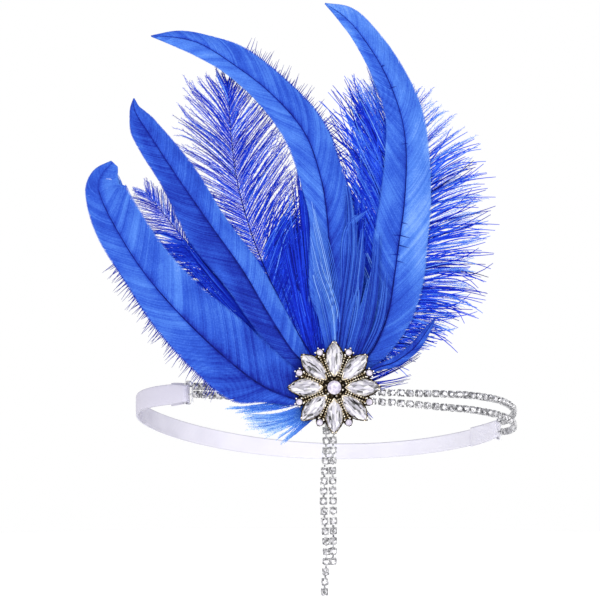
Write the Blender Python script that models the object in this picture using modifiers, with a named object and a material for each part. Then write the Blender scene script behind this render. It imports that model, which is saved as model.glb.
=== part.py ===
"""A flapper headband: an elastic strap and two strands of cup chain close a loop round the head, and
a stone brooch with a fan of blue feathers, two hanging chains and a felt pad stands on its front.

Lengths are in millimetres and are multiplied by MM where a mesh is made. +X is the wearer's left, -Y
is the front and +Z is up. The origin is the middle of the loop, where it sits on the head.
"""

import math

import bmesh
import bpy
from mathutils import Matrix, Vector

MM = 0.001

# The loop is a circle seen from above. Azimuth 0 is the front, and +90 is the +X side.
LOOP_RADIUS = 91.0
FRONT_RISE = 18.25  # the loop's front is this much higher than its sides, and its back lower
SAG = 5.55  # front and back both hang this much under that tilted plane
SIDE_TILT = 2.35  # the -X side is this much higher, and the +X side lower

STRAP_THICKNESS = 1.0
STRAP_WIDTH_TABLE = (  # azimuth, width
    (-247.0, 8.2),
    (-236.0, 8.8),
    (-195.0, 8.4),
    (-165.0, 9.2),
    (-130.0, 10.0),
    (-90.0, 9.8),
    (-52.0, 9.8),
    (-46.0, 8.4),
)
STRAP_STEP = 8.0  # degrees between the strap's sections
FOLD_RADIUS = 1.5  # the strap's middle turns round the frame's bar at this radius
FOLD_RUN_RADIUS = 89.7  # the folded end lies inside the strap at this radius
FOLD_LENGTH_LEFT = 12.0
FOLD_LENGTH_RIGHT = 22.0
FOLD_TURN_SECTIONS = 6

CHAIN_PITCH = 4.45
CHAIN_START = -41.0  # azimuth of the first cup
CHAIN_CUPS = 54
CHAIN_HEIGHT_TABLE = (  # azimuth, height of the upper strand, height of the lower strand
    (-46.0, 15.4, 11.8),
    (-41.0, 15.1, 11.5),
    (0.0, 14.1, 10.1),
    (16.0, 13.0, 8.8),
    (33.0, 12.0, 6.2),
    (45.5, 10.8, 4.3),
    (60.0, 8.0, 1.1),
    (75.0, 3.8, -3.0),
    (90.0, 0.2, -6.8),
    (103.0, -4.2, -9.8),
    (110.0, -6.2, -10.8),
)

CUP_SIDES = 8
CUP_WIDTH = 3.3
CUP_DEPTH = 1.4
STONE_INSET = 0.75  # from the cup's rim to the stone's table
STONE_RISE = 0.9
CUP_BACK_RADIUS = 90.2

RING_RADIUS = 1.25
RING_WIRE_RADIUS = 0.35
RING_REACH = 2.9  # from the last cup's centre to the ring's centre

FRAME_BAR_SPACING = 4.4
FRAME_INNER_HEIGHT = 9.2
FRAME_WIRE_RADIUS = 0.55
FRAME_CORNER_RADIUS = 1.2

TASSEL_BACK = -94.9
TASSEL_LONG_X, TASSEL_LONG_TOP, TASSEL_LONG_CUPS = -2.0, 5.4, 19
TASSEL_SHORT_X, TASSEL_SHORT_TOP, TASSEL_SHORT_CUPS = 1.55, 5.6, 16

# The brooch's own axes: across is +X, up is +Z and outwards is -Y. Its depths count from its back.
BROOCH_X, BROOCH_BACK, BROOCH_Z = 2.1, -97.5, 15.7
PETALS = 8
PLATE_THICKNESS = 1.2
PLATE_SECTOR = (  # radius, degrees on from a petal's axis: one eighth of the plate's outline
    (20.9, 0.0),
    (17.5, 10.4),
    (16.0, 14.5),
    (17.6, 17.5),
    (18.9, 22.5),
    (17.6, 27.5),
    (16.0, 30.5),
    (17.5, 34.6),
)
SEAT = 0.6  # depth in the plate at which everything soldered on it starts
STONE_CLEARANCE = 0.3
PETAL_RADIUS = 12.5
PETAL_LENGTH, PETAL_WIDTH = 15.0, 7.0
PETAL_SECTIONS = (  # depth, scale of the stone's outline
    (1.5, 0.72),
    (2.6, 1.0),
    (4.3, 0.5),
)
COLLET_TOP = 2.4
COLLET_WALL = 0.7
RIB_START, RIB_END, RIB_WIDTH, RIB_TOP = 4.6, 15.2, 1.4, 2.1
CENTRE_STONE_RADIUS = 3.0
CENTRE_STONE_TOP = 4.2
CENTRE_CUP_RADIUS, CENTRE_CUP_TOP = 4.2, 2.2
DOME_TURNS = (0.0, 50.0)  # degrees up a round stone's dome at which its outline has a corner
ACCENT_RADIUS = 16.7
ACCENT_STONE_RADIUS, ACCENT_STONE_TOP = 1.4, 3.5
ACCENT_CUP_RADIUS, ACCENT_CUP_TOP = 2.0, 2.0

# The feathers lie in layers that bow back from the brooch, so that they cross without touching. Their
# quills are stacked behind the brooch, and the rear plume's lies on the pad.
FRONT_LAYER, MIDDLE_LAYER, BACK_LAYER, REAR_LAYER = -96.55, -95.15, -93.65, -90.5
BOW, BOW_AT = 10.0, 170.0  # a layer is this much further back at this distance from the brooch
SHAFT_ROOT, SHAFT_TIP = 0.6, 0.35  # half thickness of a feather's shaft
VANE = 0.35  # half thickness of its vane, half way from the shaft to the edge

# Each row is one section: the shaft's place, and how far the vane reaches to each side of it.
FEATHERS = {  # name: (layer, curl of the tip, rows of x, z, left reach, right reach)
    "feather_left": (FRONT_LAYER, 3.0, (
        (-8.0, 8.5, 1.0, 1.0),
        (-17.0, 11.0, 3.5, 7.0),
        (-26.3, 14.6, 6.5, 13.0),
        (-35.2, 20.0, 11.5, 16.5),
        (-51.4, 33.5, 14.0, 17.5),
        (-68.5, 50.4, 12.5, 15.5),
        (-83.1, 67.8, 9.6, 14.3),
        (-95.1, 87.0, 9.3, 13.5),
        (-102.0, 103.0, 6.5, 12.0),
        (-101.5, 110.0, 4.5, 9.0),
        (-98.0, 115.0, 1.5, 3.0),
    )),
    "feather_inner": (MIDDLE_LAYER, 4.0, (
        (3.4, 12.4, 0.8, 0.8),
        (-4.5, 18.5, 1.0, 1.0),
        (-10.5, 25.5, 3.5, 3.5),
        (-16.7, 32.0, 7.5, 6.0),
        (-27.6, 49.0, 9.0, 7.6),
        (-38.7, 67.8, 10.7, 8.0),
        (-52.3, 86.9, 12.0, 7.6),
        (-67.4, 108.7, 8.3, 9.0),
        (-82.2, 131.2, 6.9, 5.8),
        (-86.4, 138.4, 2.4, 3.2),
        (-86.7, 143.6, 0.3, 0.3),
    )),
    "feather_curled": (FRONT_LAYER, 6.0, (
        (2.2, 12.0, 0.8, 0.8),
        (2.8, 23.0, 1.0, 1.0),
        (3.6, 32.0, 2.5, 3.5),
        (4.0, 40.0, 5.5, 7.0),
        (1.9, 56.5, 10.5, 9.5),
        (0.2, 73.3, 9.3, 11.0),
        (-0.9, 90.2, 8.0, 12.0),
        (-3.7, 107.9, 9.5, 10.5),
        (-11.0, 128.3, 9.5, 10.3),
        (-26.2, 146.0, 7.2, 9.5),
        (-43.3, 159.2, 5.5, 9.2),
        (-57.2, 167.8, 6.0, 4.8),
        (-67.6, 170.5, 4.3, 3.3),
        (-79.0, 171.2, 0.3, 0.3),
    )),
    "feather_tall": (MIDDLE_LAYER, 5.0, (
        (5.0, 14.5, 0.8, 0.8),
        (9.0, 20.0, 1.0, 1.0),
        (15.0, 27.0, 3.5, 4.5),
        (20.3, 34.0, 6.0, 7.0),
        (26.0, 48.3, 9.5, 11.0),
        (28.6, 63.8, 10.5, 13.5),
        (30.5, 77.5, 11.5, 13.0),
        (33.3, 98.5, 11.0, 12.0),
        (34.0, 121.3, 9.3, 10.3),
        (31.4, 137.6, 7.0, 10.0),
        (24.2, 155.9, 6.0, 8.5),
        (14.0, 171.9, 4.3, 7.0),
        (6.7, 179.9, 3.2, 5.5),
        (-1.9, 185.9, 0.3, 0.3),
    )),
    "feather_side": (FRONT_LAYER, 2.0, (
        (11.6, 18.5, 0.8, 0.8),
        (20.5, 24.0, 1.5, 1.5),
        (28.8, 26.9, 2.2, 2.2),
        (37.3, 33.0, 2.4, 2.4),
        (42.9, 40.4, 1.6, 1.6),
        (46.7, 46.3, 0.3, 0.3),
    )),
}

# Each row is a place on the shaft: x, z, the reach of the locks that leave there to the left and to the
# right, and the angle in degrees between those locks and the shaft.
PLUMES = {  # name: (layer, locks on each side, rows)
    "plume_centre": (BACK_LAYER, 13, (
        (-2.0, 12.0, 2.0, 2.0, 30.0),
        (-6.0, 26.0, 6.0, 6.0, 35.0),
        (-17.5, 45.5, 10.0, 12.0, 40.0),
        (-26.4, 63.3, 14.0, 18.0, 45.0),
        (-34.9, 84.9, 22.0, 26.0, 50.0),
        (-40.9, 107.0, 30.0, 28.0, 52.0),
        (-43.9, 130.0, 32.0, 20.0, 48.0),
        (-44.6, 143.0, 20.0, 11.0, 35.0),
        (-45.4, 152.0, 6.0, 5.0, 20.0),
    )),
    "plume_small": (REAR_LAYER, 9, (
        (-8.0, 18.5, 1.0, 1.0, 30.0),
        (-22.0, 32.0, 4.0, 4.0, 30.0),
        (-36.0, 48.0, 9.0, 9.0, 35.0),
        (-55.0, 70.0, 14.0, 13.0, 40.0),
        (-70.0, 88.0, 17.0, 13.0, 38.0),
        (-82.0, 103.0, 7.0, 7.0, 25.0),
    )),
    "plume_right": (BACK_LAYER, 14, (
        (5.0, 12.0, 2.0, 2.0, 40.0),
        (12.0, 26.0, 5.0, 22.0, 80.0),
        (19.0, 40.0, 12.0, 40.0, 80.0),
        (25.0, 55.0, 18.0, 44.0, 74.0),
        (30.0, 74.0, 24.0, 44.0, 62.0),
        (33.0, 94.0, 32.0, 42.0, 50.0),
        (33.0, 114.0, 36.0, 34.0, 42.0),
        (30.5, 134.0, 26.0, 20.0, 36.0),
        (27.0, 147.0, 8.0, 8.0, 25.0),
    )),
}
PLUME_SHAFT_ROOT, PLUME_SHAFT_TIP = 0.55, 0.3
LOCK_VALLEY = 0.45  # between two locks the blade is cut back to this share of its reach
LOCK_THICKNESS, LOCK_VALLEY_THICKNESS = 0.4, 0.2  # half thickness along a lock and between two
PLUME_TIP = 0.1

TUFT_LOCK_SECTIONS = (  # share of the lock's length, share of its width, share of its thickness
    (0.0, 0.3, 1.0),
    (0.6, 1.0, 1.0),
    (1.0, 0.1, 0.4),
)
LOCK_DROOP = 0.12  # a lock's tip bends away from the shaft by this share of its length

TUFT_ROOT = (-7.0, 5.5)
TUFT_LOCKS = (  # x and z of the tip, width
    (-43.0, 6.0, 5.0),
    (-39.5, 1.0, 6.0),
    (-31.0, -5.0, 6.5),
    (-22.0, -10.5, 3.5),
)

PAD_RADIUS = 15.0
PAD_Z = 13.5
PAD_MIDDLE_RADIUS = 89.05
PAD_THICKNESS = 1.6
PAD_CELLS = 5

ELASTIC = dict(colour=(0.72, 0.69, 0.80), roughness=0.85)
CHAIN_METAL = dict(colour=(0.72, 0.72, 0.72), roughness=0.2, metallic=1.0)
ANTIQUE_BRASS = dict(colour=(0.30, 0.22, 0.10), roughness=0.45, metallic=1.0)
CRYSTAL = dict(colour=(0.86, 0.86, 0.90), roughness=0.05)
PEARL = dict(colour=(0.85, 0.83, 0.86), roughness=0.25)
FEATHER_BLUE = dict(colour=(0.03, 0.12, 0.68), roughness=0.6)
PLUME_BLUE = dict(colour=(0.02, 0.06, 0.60), roughness=0.75)
FELT = dict(colour=(0.75, 0.75, 0.78), roughness=0.95)


def clear_scene():
    for found in list(bpy.data.objects):
        bpy.data.objects.remove(found, do_unlink=True)


def new_collection(name):
    made = bpy.data.collections.new(name)
    bpy.context.scene.collection.children.link(made)
    return made


def material(name, colour, roughness, metallic=0.0):
    found = bpy.data.materials.get(name)
    if found:
        return found
    made = bpy.data.materials.new(name)
    made.use_nodes = True
    shader = made.node_tree.nodes["Principled BSDF"]
    shader.inputs["Base Color"].default_value = (*colour, 1.0)
    shader.inputs["Roughness"].default_value = roughness
    shader.inputs["Metallic"].default_value = metallic
    return made


def finish(bm, name, collection, look_name, look, smooth_angle=40.0):
    """Makes an object from a bmesh that is in millimetres."""
    bmesh.ops.scale(bm, vec=(MM, MM, MM), verts=bm.verts)
    bmesh.ops.recalc_face_normals(bm, faces=bm.faces)
    mesh = bpy.data.meshes.new(name)
    bm.to_mesh(mesh)
    bm.free()
    mesh.shade_smooth()
    mesh.set_sharp_from_angle(angle=math.radians(smooth_angle))
    mesh.materials.append(material(look_name, **look))
    made = bpy.data.objects.new(name, mesh)
    collection.objects.link(made)
    return made


def fuse(target, helper, self_crossing):
    """Joins a hidden helper to an object, to make one solid of them."""
    helper.hide_render = True
    helper.display_type = "WIRE"
    union = target.modifiers.new("fuse_" + helper.name, "BOOLEAN")
    union.operation = "UNION"
    union.solver = "EXACT"
    union.use_self = self_crossing
    union.object = helper


def smooth_row(table, key):
    """A table's other columns at a value of its first one, on a smooth curve through its rows."""
    keys = [row[0] for row in table]
    i = max(j for j in range(len(keys) - 1) if j == 0 or keys[j] <= key)
    before, after = max(i - 1, 0), min(i + 2, len(keys) - 1)
    span = keys[i + 1] - keys[i]
    t = (key - keys[i]) / span
    found = []
    for column in range(1, len(table[0])):
        start, end = table[i][column], table[i + 1][column]
        slope = (end - table[before][column]) / (keys[i + 1] - keys[before]) * span
        next_slope = (table[after][column] - start) / (keys[after] - keys[i]) * span
        found.append(
            (2 * t**3 - 3 * t**2 + 1) * start
            + (t**3 - 2 * t**2 + t) * slope
            + (3 * t**2 - 2 * t**3) * end
            + (t**3 - t**2) * next_slope
        )
    return found


def loop_point(azimuth, radius, height):
    turn = math.radians(azimuth)
    return Vector((radius * math.sin(turn), -radius * math.cos(turn), height))


def loop_frame(azimuth, radius, height):
    """A matrix at a place on the loop: X runs along it, Y is up and Z points outwards."""
    turn = math.radians(azimuth)
    along = Vector((math.cos(turn), math.sin(turn), 0.0))
    outwards = Vector((math.sin(turn), -math.cos(turn), 0.0))
    axes = Matrix((along, Vector((0.0, 0.0, 1.0)), outwards)).transposed().to_4x4()
    return Matrix.Translation(loop_point(azimuth, radius, height)) @ axes


def degrees_of(length):
    return math.degrees(length / LOOP_RADIUS)


def strap_height(azimuth):
    turn = math.radians(azimuth)
    return FRONT_RISE * math.cos(turn) - SAG * math.cos(turn) ** 2 - SIDE_TILT * math.sin(turn)


def loft(bm, sections, closed_ring=False):
    """A skin through sections with the same number of points. It is capped at both ends, or joined up
    where the sections go all the way round."""
    rings = [[bm.verts.new(point) for point in section] for section in sections]
    pairs = list(zip(rings, rings[1:])) + ([(rings[-1], rings[0])] if closed_ring else [])
    for near, far in pairs:
        for i in range(len(near)):
            j = (i + 1) % len(near)
            bm.faces.new((near[i], near[j], far[j], far[i]))
    if not closed_ring:
        bm.faces.new(rings[0])
        bm.faces.new(rings[-1])


# The strap

FRAME_REACH = RING_REACH + FRAME_BAR_SPACING
LEFT_BAR = CHAIN_START - degrees_of(FRAME_REACH)
CHAIN_END = CHAIN_START + degrees_of(CHAIN_PITCH) * (CHAIN_CUPS - 1)
RIGHT_BAR = CHAIN_END + degrees_of(FRAME_REACH) - 360.0


def fold_turn(bar, side):
    """The strap's turn round a frame's bar, as azimuths and radii from its outer run to its inner one."""
    found = []
    for step in range(FOLD_TURN_SECTIONS + 1):
        turn = math.pi * step / FOLD_TURN_SECTIONS
        reach = degrees_of(FOLD_RADIUS * math.sin(turn))
        found.append((bar + side * reach, LOOP_RADIUS + FOLD_RADIUS * math.cos(turn)))
    return found


def strap_route():
    """Azimuths and radii along the strap, from one folded end to the other."""
    turn_left = fold_turn(LEFT_BAR, 1.0)
    turn_right = fold_turn(RIGHT_BAR, -1.0)
    step = degrees_of(5.0)
    fold_left, fold_right = degrees_of(FOLD_LENGTH_LEFT), degrees_of(FOLD_LENGTH_RIGHT)
    left_end = [(LEFT_BAR - reach, FOLD_RUN_RADIUS) for reach in (fold_left, step)]
    right_end = [(RIGHT_BAR + reach, FOLD_RUN_RADIUS) for reach in (step, fold_right / 2, fold_right)]
    first, last = LEFT_BAR - 1.6 * step, RIGHT_BAR + 1.6 * step
    count = round((first - last) / STRAP_STEP)
    arc = [(first + (last - first) * i / count, LOOP_RADIUS) for i in range(count + 1)]
    return left_end + turn_left[::-1] + arc + turn_right + right_end


def make_strap(collection):
    route = strap_route()
    sections = []
    for i, (azimuth, radius) in enumerate(route):
        before, after = route[max(i - 1, 0)], route[min(i + 1, len(route) - 1)]
        along = loop_point(after[0], after[1], 0.0) - loop_point(before[0], before[1], 0.0)
        through = Vector((along.y, -along.x, 0.0)).normalized() * STRAP_THICKNESS / 2
        (width,) = smooth_row(STRAP_WIDTH_TABLE, azimuth)
        up = Vector((0.0, 0.0, width / 2))
        centre = loop_point(azimuth, radius, strap_height(azimuth))
        sections.append((
            centre + up + through, centre + up - through, centre - up - through, centre - up + through,
        ))
    bm = bmesh.new()
    loft(bm, sections)
    return finish(bm, "elastic_strap", collection, "white_elastic", ELASTIC)


# The end frames and the chains

def make_frame(name, azimuth, collection):
    """A rectangular wire frame, from a closed curve with rounded corners."""
    half_width = FRAME_BAR_SPACING / 2
    half_height = FRAME_INNER_HEIGHT / 2 + FRAME_WIRE_RADIUS
    points = []
    for quarter, (side, up) in enumerate(((1, 1), (-1, 1), (-1, -1), (1, -1))):
        for turn in (0.0, 45.0, 90.0):
            angle = math.radians(90.0 * quarter + turn)
            points.append(Vector((
                side * (half_width - FRAME_CORNER_RADIUS) + FRAME_CORNER_RADIUS * math.cos(angle),
                up * (half_height - FRAME_CORNER_RADIUS) + FRAME_CORNER_RADIUS * math.sin(angle),
                0.0,
            )))
    place = loop_frame(azimuth, LOOP_RADIUS, strap_height(azimuth))
    curve = bpy.data.curves.new(name, "CURVE")
    curve.dimensions = "3D"
    curve.bevel_depth = FRAME_WIRE_RADIUS * MM
    curve.bevel_resolution = 1
    spline = curve.splines.new("POLY")
    spline.points.add(len(points) - 1)
    spline.use_cyclic_u = True
    for point, at in zip(spline.points, points):
        point.co = (*((place @ at) * MM), 1.0)
    curve.materials.append(material("silver_metal", **CHAIN_METAL))
    made = bpy.data.objects.new(name, curve)
    collection.objects.link(made)
    return made


def add_cup(bm, place):
    """A cup and its stone. It returns the two sides that face the next cup and the one before."""
    out = place.to_3x3() @ Vector((0.0, 0.0, 1.0))
    along = place.to_3x3() @ Vector((1.0, 0.0, 0.0))
    corner = CUP_WIDTH / 2 / math.cos(math.pi / CUP_SIDES)
    middle = place @ Matrix.Translation((0.0, 0.0, CUP_DEPTH / 2)) @ Matrix.Rotation(math.pi / CUP_SIDES, 4, "Z")
    made = bmesh.ops.create_cone(
        bm, cap_ends=True, segments=CUP_SIDES, radius1=corner, radius2=corner, depth=CUP_DEPTH, matrix=middle,
    )
    faces = list({face for vert in made["verts"] for face in vert.link_faces})
    for face in faces:
        face.normal_update()
    rim = max(faces, key=lambda face: face.normal.dot(out))
    ahead = max(faces, key=lambda face: face.normal.dot(along))
    behind = min(faces, key=lambda face: face.normal.dot(along))
    bmesh.ops.inset_individual(bm, faces=[rim], thickness=STONE_INSET, depth=STONE_RISE)
    return ahead, behind


def cup_chain(bm, places):
    """Cups in a row, each joined to the next by a bar between the sides that face."""
    sides = [add_cup(bm, place) for place in places]
    for (ahead, _), (_, behind) in zip(sides, sides[1:]):
        edges = list(ahead.edges) + list(behind.edges)
        bmesh.ops.delete(bm, geom=[ahead, behind], context="FACES_ONLY")
        bmesh.ops.bridge_loops(bm, edges=edges)


def make_end_ring(name, azimuth, height, collection):
    """The wire ring that joins a strand's last cup to a frame's bar."""
    bm = bmesh.new()
    place = loop_frame(azimuth, LOOP_RADIUS, height)
    section = bmesh.ops.create_circle(
        bm, segments=5, radius=RING_WIRE_RADIUS,
        matrix=place @ Matrix.Translation((RING_RADIUS, 0.0, 0.0)),
    )
    edges = list({edge for vert in section["verts"] for edge in vert.link_edges})
    bmesh.ops.spin(
        bm, geom=section["verts"] + edges, cent=place.translation, axis=(0.0, 0.0, 1.0),
        angle=2 * math.pi, steps=10, use_merge=True,
    )
    return finish(bm, name, collection, "silver_metal", CHAIN_METAL)


def make_strand(name, column, collection, helpers):
    places = []
    for i in range(CHAIN_CUPS):
        azimuth = CHAIN_START + degrees_of(CHAIN_PITCH) * i
        places.append(loop_frame(azimuth, CUP_BACK_RADIUS, smooth_row(CHAIN_HEIGHT_TABLE, azimuth)[column]))
    bm = bmesh.new()
    cup_chain(bm, places)
    strand = finish(bm, name, collection, "rhinestone_chain", CHAIN_METAL, 20.0)
    for end, last_cup, side in (("left", CHAIN_START, -1.0), ("right", CHAIN_END, 1.0)):
        height = smooth_row(CHAIN_HEIGHT_TABLE, last_cup)[column]
        azimuth = last_cup + side * degrees_of(RING_REACH)
        fuse(strand, make_end_ring(f"{name}_ring_{end}", azimuth, height, helpers), False)
    return strand


def make_tassel(name, x, top, cups, collection):
    facing_front = Matrix.Rotation(math.pi / 2, 4, "X")
    hanging = Matrix.Rotation(-math.pi / 2, 4, "Z")
    places = [
        Matrix.Translation((x, TASSEL_BACK, top - CHAIN_PITCH * i)) @ facing_front @ hanging
        for i in range(cups)
    ]
    bm = bmesh.new()
    cup_chain(bm, places)
    return finish(bm, name, collection, "rhinestone_chain", CHAIN_METAL, 20.0)


# The brooch

def brooch_frame(angle=0.0, radius=0.0):
    """The brooch's axes, moved out along the direction at an angle in degrees."""
    centre = Matrix.Translation((BROOCH_X, BROOCH_BACK, BROOCH_Z)) @ Matrix.Rotation(math.pi / 2, 4, "X")
    return centre @ Matrix.Rotation(math.radians(angle), 4, "Z") @ Matrix.Translation((radius, 0.0, 0.0))


def navette(length, width, depth, scale=1.0):
    """The pointed outline of two equal arcs, four edges to a side, at a depth."""
    half_length, half_width = length / 2 * scale, width / 2 * scale
    arc = (half_length**2 + half_width**2) / (2 * half_width)
    widest = math.asin(half_length / arc)
    side = []
    for step in range(4):
        turn = widest * (1.0 - step / 2)
        side.append(Vector((arc * math.sin(turn), arc * math.cos(turn) - arc + half_width, depth)))
    return side + [Vector((-point.x, -point.y, depth)) for point in side]


def placed(place, points):
    return [place @ point for point in points]


def add_collet(bm, place):
    """A low wall round a petal stone, as a ring of inner and outer outlines."""
    inner = (PETAL_LENGTH + 3.0 * STONE_CLEARANCE, PETAL_WIDTH + 2.0 * STONE_CLEARANCE)
    outer = (inner[0] + 2.2 * COLLET_WALL, inner[1] + 2.0 * COLLET_WALL)
    loft(bm, [
        placed(place, navette(*outer, SEAT)),
        placed(place, navette(*outer, COLLET_TOP)),
        placed(place, navette(*inner, COLLET_TOP)),
        placed(place, navette(*inner, SEAT)),
    ], closed_ring=True)


def add_disc(bm, place, radius, sides, low, high):
    bmesh.ops.create_cone(
        bm, cap_ends=True, segments=sides, radius1=radius, radius2=radius, depth=high - low,
        matrix=place @ Matrix.Translation((0.0, 0.0, (low + high) / 2)),
    )


def make_setting(collection, helpers):
    plate = bmesh.new()
    outline = []
    for petal in range(PETALS):
        for radius, turn in PLATE_SECTOR:
            angle = math.radians(360.0 / PETALS * petal + turn)
            outline.append(Vector((radius * math.cos(angle), radius * math.sin(angle), 0.0)))
    front = [point + Vector((0.0, 0.0, PLATE_THICKNESS)) for point in outline]
    loft(plate, [placed(brooch_frame(), outline), placed(brooch_frame(), front)])
    setting = finish(plate, "brooch_setting", collection, "antique_brass", ANTIQUE_BRASS)

    raised = bmesh.new()
    add_disc(raised, brooch_frame(), CENTRE_CUP_RADIUS, 16, SEAT, CENTRE_CUP_TOP)
    for petal in range(PETALS):
        angle = 360.0 / PETALS * petal
        add_collet(raised, brooch_frame(angle, PETAL_RADIUS))
        valley = angle + 180.0 / PETALS
        add_disc(raised, brooch_frame(valley, ACCENT_RADIUS), ACCENT_CUP_RADIUS, 8, SEAT, ACCENT_CUP_TOP)
        bmesh.ops.create_cube(
            raised, size=1.0,
            matrix=brooch_frame(valley, (RIB_START + RIB_END) / 2)
            @ Matrix.Translation((0.0, 0.0, (SEAT + RIB_TOP) / 2))
            @ Matrix.Diagonal((RIB_END - RIB_START, RIB_WIDTH, RIB_TOP - SEAT, 1.0)),
        )
    fuse(setting, finish(raised, "setting_raised", helpers, "antique_brass", ANTIQUE_BRASS), True)
    return setting


def make_petal_stone(name, petal, collection):
    place = brooch_frame(360.0 / PETALS * petal, PETAL_RADIUS)
    bm = bmesh.new()
    loft(bm, [
        placed(place, navette(PETAL_LENGTH, PETAL_WIDTH, depth, scale)) for depth, scale in PETAL_SECTIONS
    ])
    return finish(bm, name, collection, "clear_crystal", CRYSTAL, 10.0)


def make_round_stone(name, place, radius, low, top, sides, collection):
    """A low dome on a short straight side, from its outline turned round its axis."""
    bm = bmesh.new()
    outline = [Vector((0.0, 0.0, low)), Vector((radius * 0.8, 0.0, low))]
    for turn in DOME_TURNS:
        share = 0.3 + 0.7 * math.sin(math.radians(turn))
        outline.append(Vector((radius * math.cos(math.radians(turn)), 0.0, low + (top - low) * share)))
    outline.append(Vector((0.0, 0.0, top)))
    verts = [bm.verts.new(place @ point) for point in outline]
    edges = [bm.edges.new(pair) for pair in zip(verts, verts[1:])]
    axis = place.to_3x3() @ Vector((0.0, 0.0, 1.0))
    bmesh.ops.spin(
        bm, geom=verts + edges, cent=place.translation, axis=axis,
        angle=2 * math.pi, steps=sides, use_merge=True,
    )
    bmesh.ops.remove_doubles(bm, verts=bm.verts, dist=0.01)
    return finish(bm, name, collection, "pearl_stone", PEARL)


# Feathers, plumes and down

def layer_point(x, z, layer, lift=0.0):
    """A place in a layer. The layers bow back away from the brooch, and lift is towards the front."""
    away = math.hypot(x - BROOCH_X, z - BROOCH_Z)
    return Vector((x, layer + BOW * (away / BOW_AT) ** 2 - lift, z))


def directions(rows):
    """The way that a shaft runs at each of its rows."""
    found = []
    for i in range(len(rows)):
        before, after = rows[max(i - 1, 0)], rows[min(i + 1, len(rows) - 1)]
        found.append(Vector((after[0] - before[0], 0.0, after[1] - before[1])).normalized())
    return found


def make_feather(name, collection):
    """One closed blade: thick at the shaft, thin at the edges, with the tip curled out of its layer."""
    layer, curl, rows = FEATHERS[name]
    sections = []
    for i, ((x, z, left, right), along) in enumerate(zip(rows, directions(rows))):
        share = i / (len(rows) - 1)
        shaft = SHAFT_ROOT + (SHAFT_TIP - SHAFT_ROOT) * share
        vane = min(VANE, max(left, right) * 0.35)
        forward = curl * share**4
        to_left = Vector((-along.z, 0.0, along.x))
        section = []
        for reach, lift in (
            (left, 0.0), (left / 2, vane), (0.0, shaft), (-right / 2, vane),
            (-right, 0.0), (-right / 2, -vane), (0.0, -shaft), (left / 2, -vane),
        ):
            place = Vector((x, 0.0, z)) + to_left * reach
            section.append(layer_point(place.x, place.z, layer, lift + forward))
        sections.append(section)
    bm = bmesh.new()
    loft(bm, sections)
    return finish(bm, name, collection, "blue_feather", FEATHER_BLUE, 60.0)


def add_lock(bm, layer, root, tip, away, width):
    """A flat pointed lock from its root to its tip, which bends away from the shaft."""
    across = Vector((-(tip - root).z, 0.0, (tip - root).x)).normalized()
    length = (tip - root).length
    sections = []
    for share, breadth, thickness in TUFT_LOCK_SECTIONS:
        middle = root.lerp(tip, share) + away * (LOCK_DROOP * length * share**2)
        half = across * (width * breadth / 2)
        section = []
        for side, lift in ((1.0, 0.0), (0.0, thickness), (-1.0, 0.0), (0.0, -thickness)):
            place = middle + half * side
            section.append(layer_point(place.x, place.z, layer, lift * LOCK_THICKNESS))
        sections.append(section)
    loft(bm, sections)


def make_plume(name, collection):
    """One closed blade with a deeply toothed edge. Each tooth is a lock of barbs, swept towards the tip."""
    layer, locks, rows = PLUMES[name]
    table = [(i, *row) for i, row in enumerate(rows)]
    last = 2 * locks
    sections = []
    for step in range(last + 1):
        at = step / last * (len(rows) - 1)
        x, z, left, right, spread = smooth_row(table, at)
        before = smooth_row(table, max(at - 0.1, 0.0))
        after = smooth_row(table, min(at + 0.1, len(rows) - 1.0))
        along = Vector((after[0] - before[0], 0.0, after[1] - before[1])).normalized()
        to_left = Vector((-along.z, 0.0, along.x))
        turn = math.radians(spread)
        full, ridge = (1.0, LOCK_THICKNESS) if step % 2 else (LOCK_VALLEY, LOCK_VALLEY_THICKNESS)
        if step == last:
            full = PLUME_TIP
        half = PLUME_SHAFT_ROOT + (PLUME_SHAFT_TIP - PLUME_SHAFT_ROOT) * step / last
        section = []
        for side, reach, share, lift in (
            (1, left, 1.0, 0.0), (1, left, 0.5, ridge), (1, 0.0, 0.0, half), (-1, right, 0.5, ridge),
            (-1, right, 1.0, 0.0), (-1, right, 0.5, -ridge), (1, 0.0, 0.0, -half), (1, left, 0.5, -ridge),
        ):
            heading = along * math.cos(turn) + to_left * (math.sin(turn) * side)
            place = Vector((x, 0.0, z)) + heading * (reach * full * share)
            section.append(layer_point(place.x, place.z, layer, lift))
        sections.append(section)
    bm = bmesh.new()
    loft(bm, sections)
    return finish(bm, name, collection, "blue_plume", PLUME_BLUE, 20.0)


def make_tuft(collection, helpers):
    """Locks of down that start together at a small flat root."""
    root = Vector((TUFT_ROOT[0], 0.0, TUFT_ROOT[1]))
    base = bmesh.new()
    bmesh.ops.create_cone(
        base, cap_ends=True, segments=8, radius1=2.4, radius2=2.4, depth=1.0,
        matrix=Matrix.Translation((root.x, MIDDLE_LAYER, root.z)) @ Matrix.Rotation(math.pi / 2, 4, "X"),
    )
    tuft = finish(base, "down_tuft", collection, "blue_plume", PLUME_BLUE)
    bm = bmesh.new()
    for x, z, width in TUFT_LOCKS:
        add_lock(bm, MIDDLE_LAYER, root, Vector((x, 0.0, z)), Vector((0.0, 0.0, 1.0)), width)
    fuse(tuft, finish(bm, "down_tuft_locks", helpers, "blue_plume", PLUME_BLUE), True)
    return tuft


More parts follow.
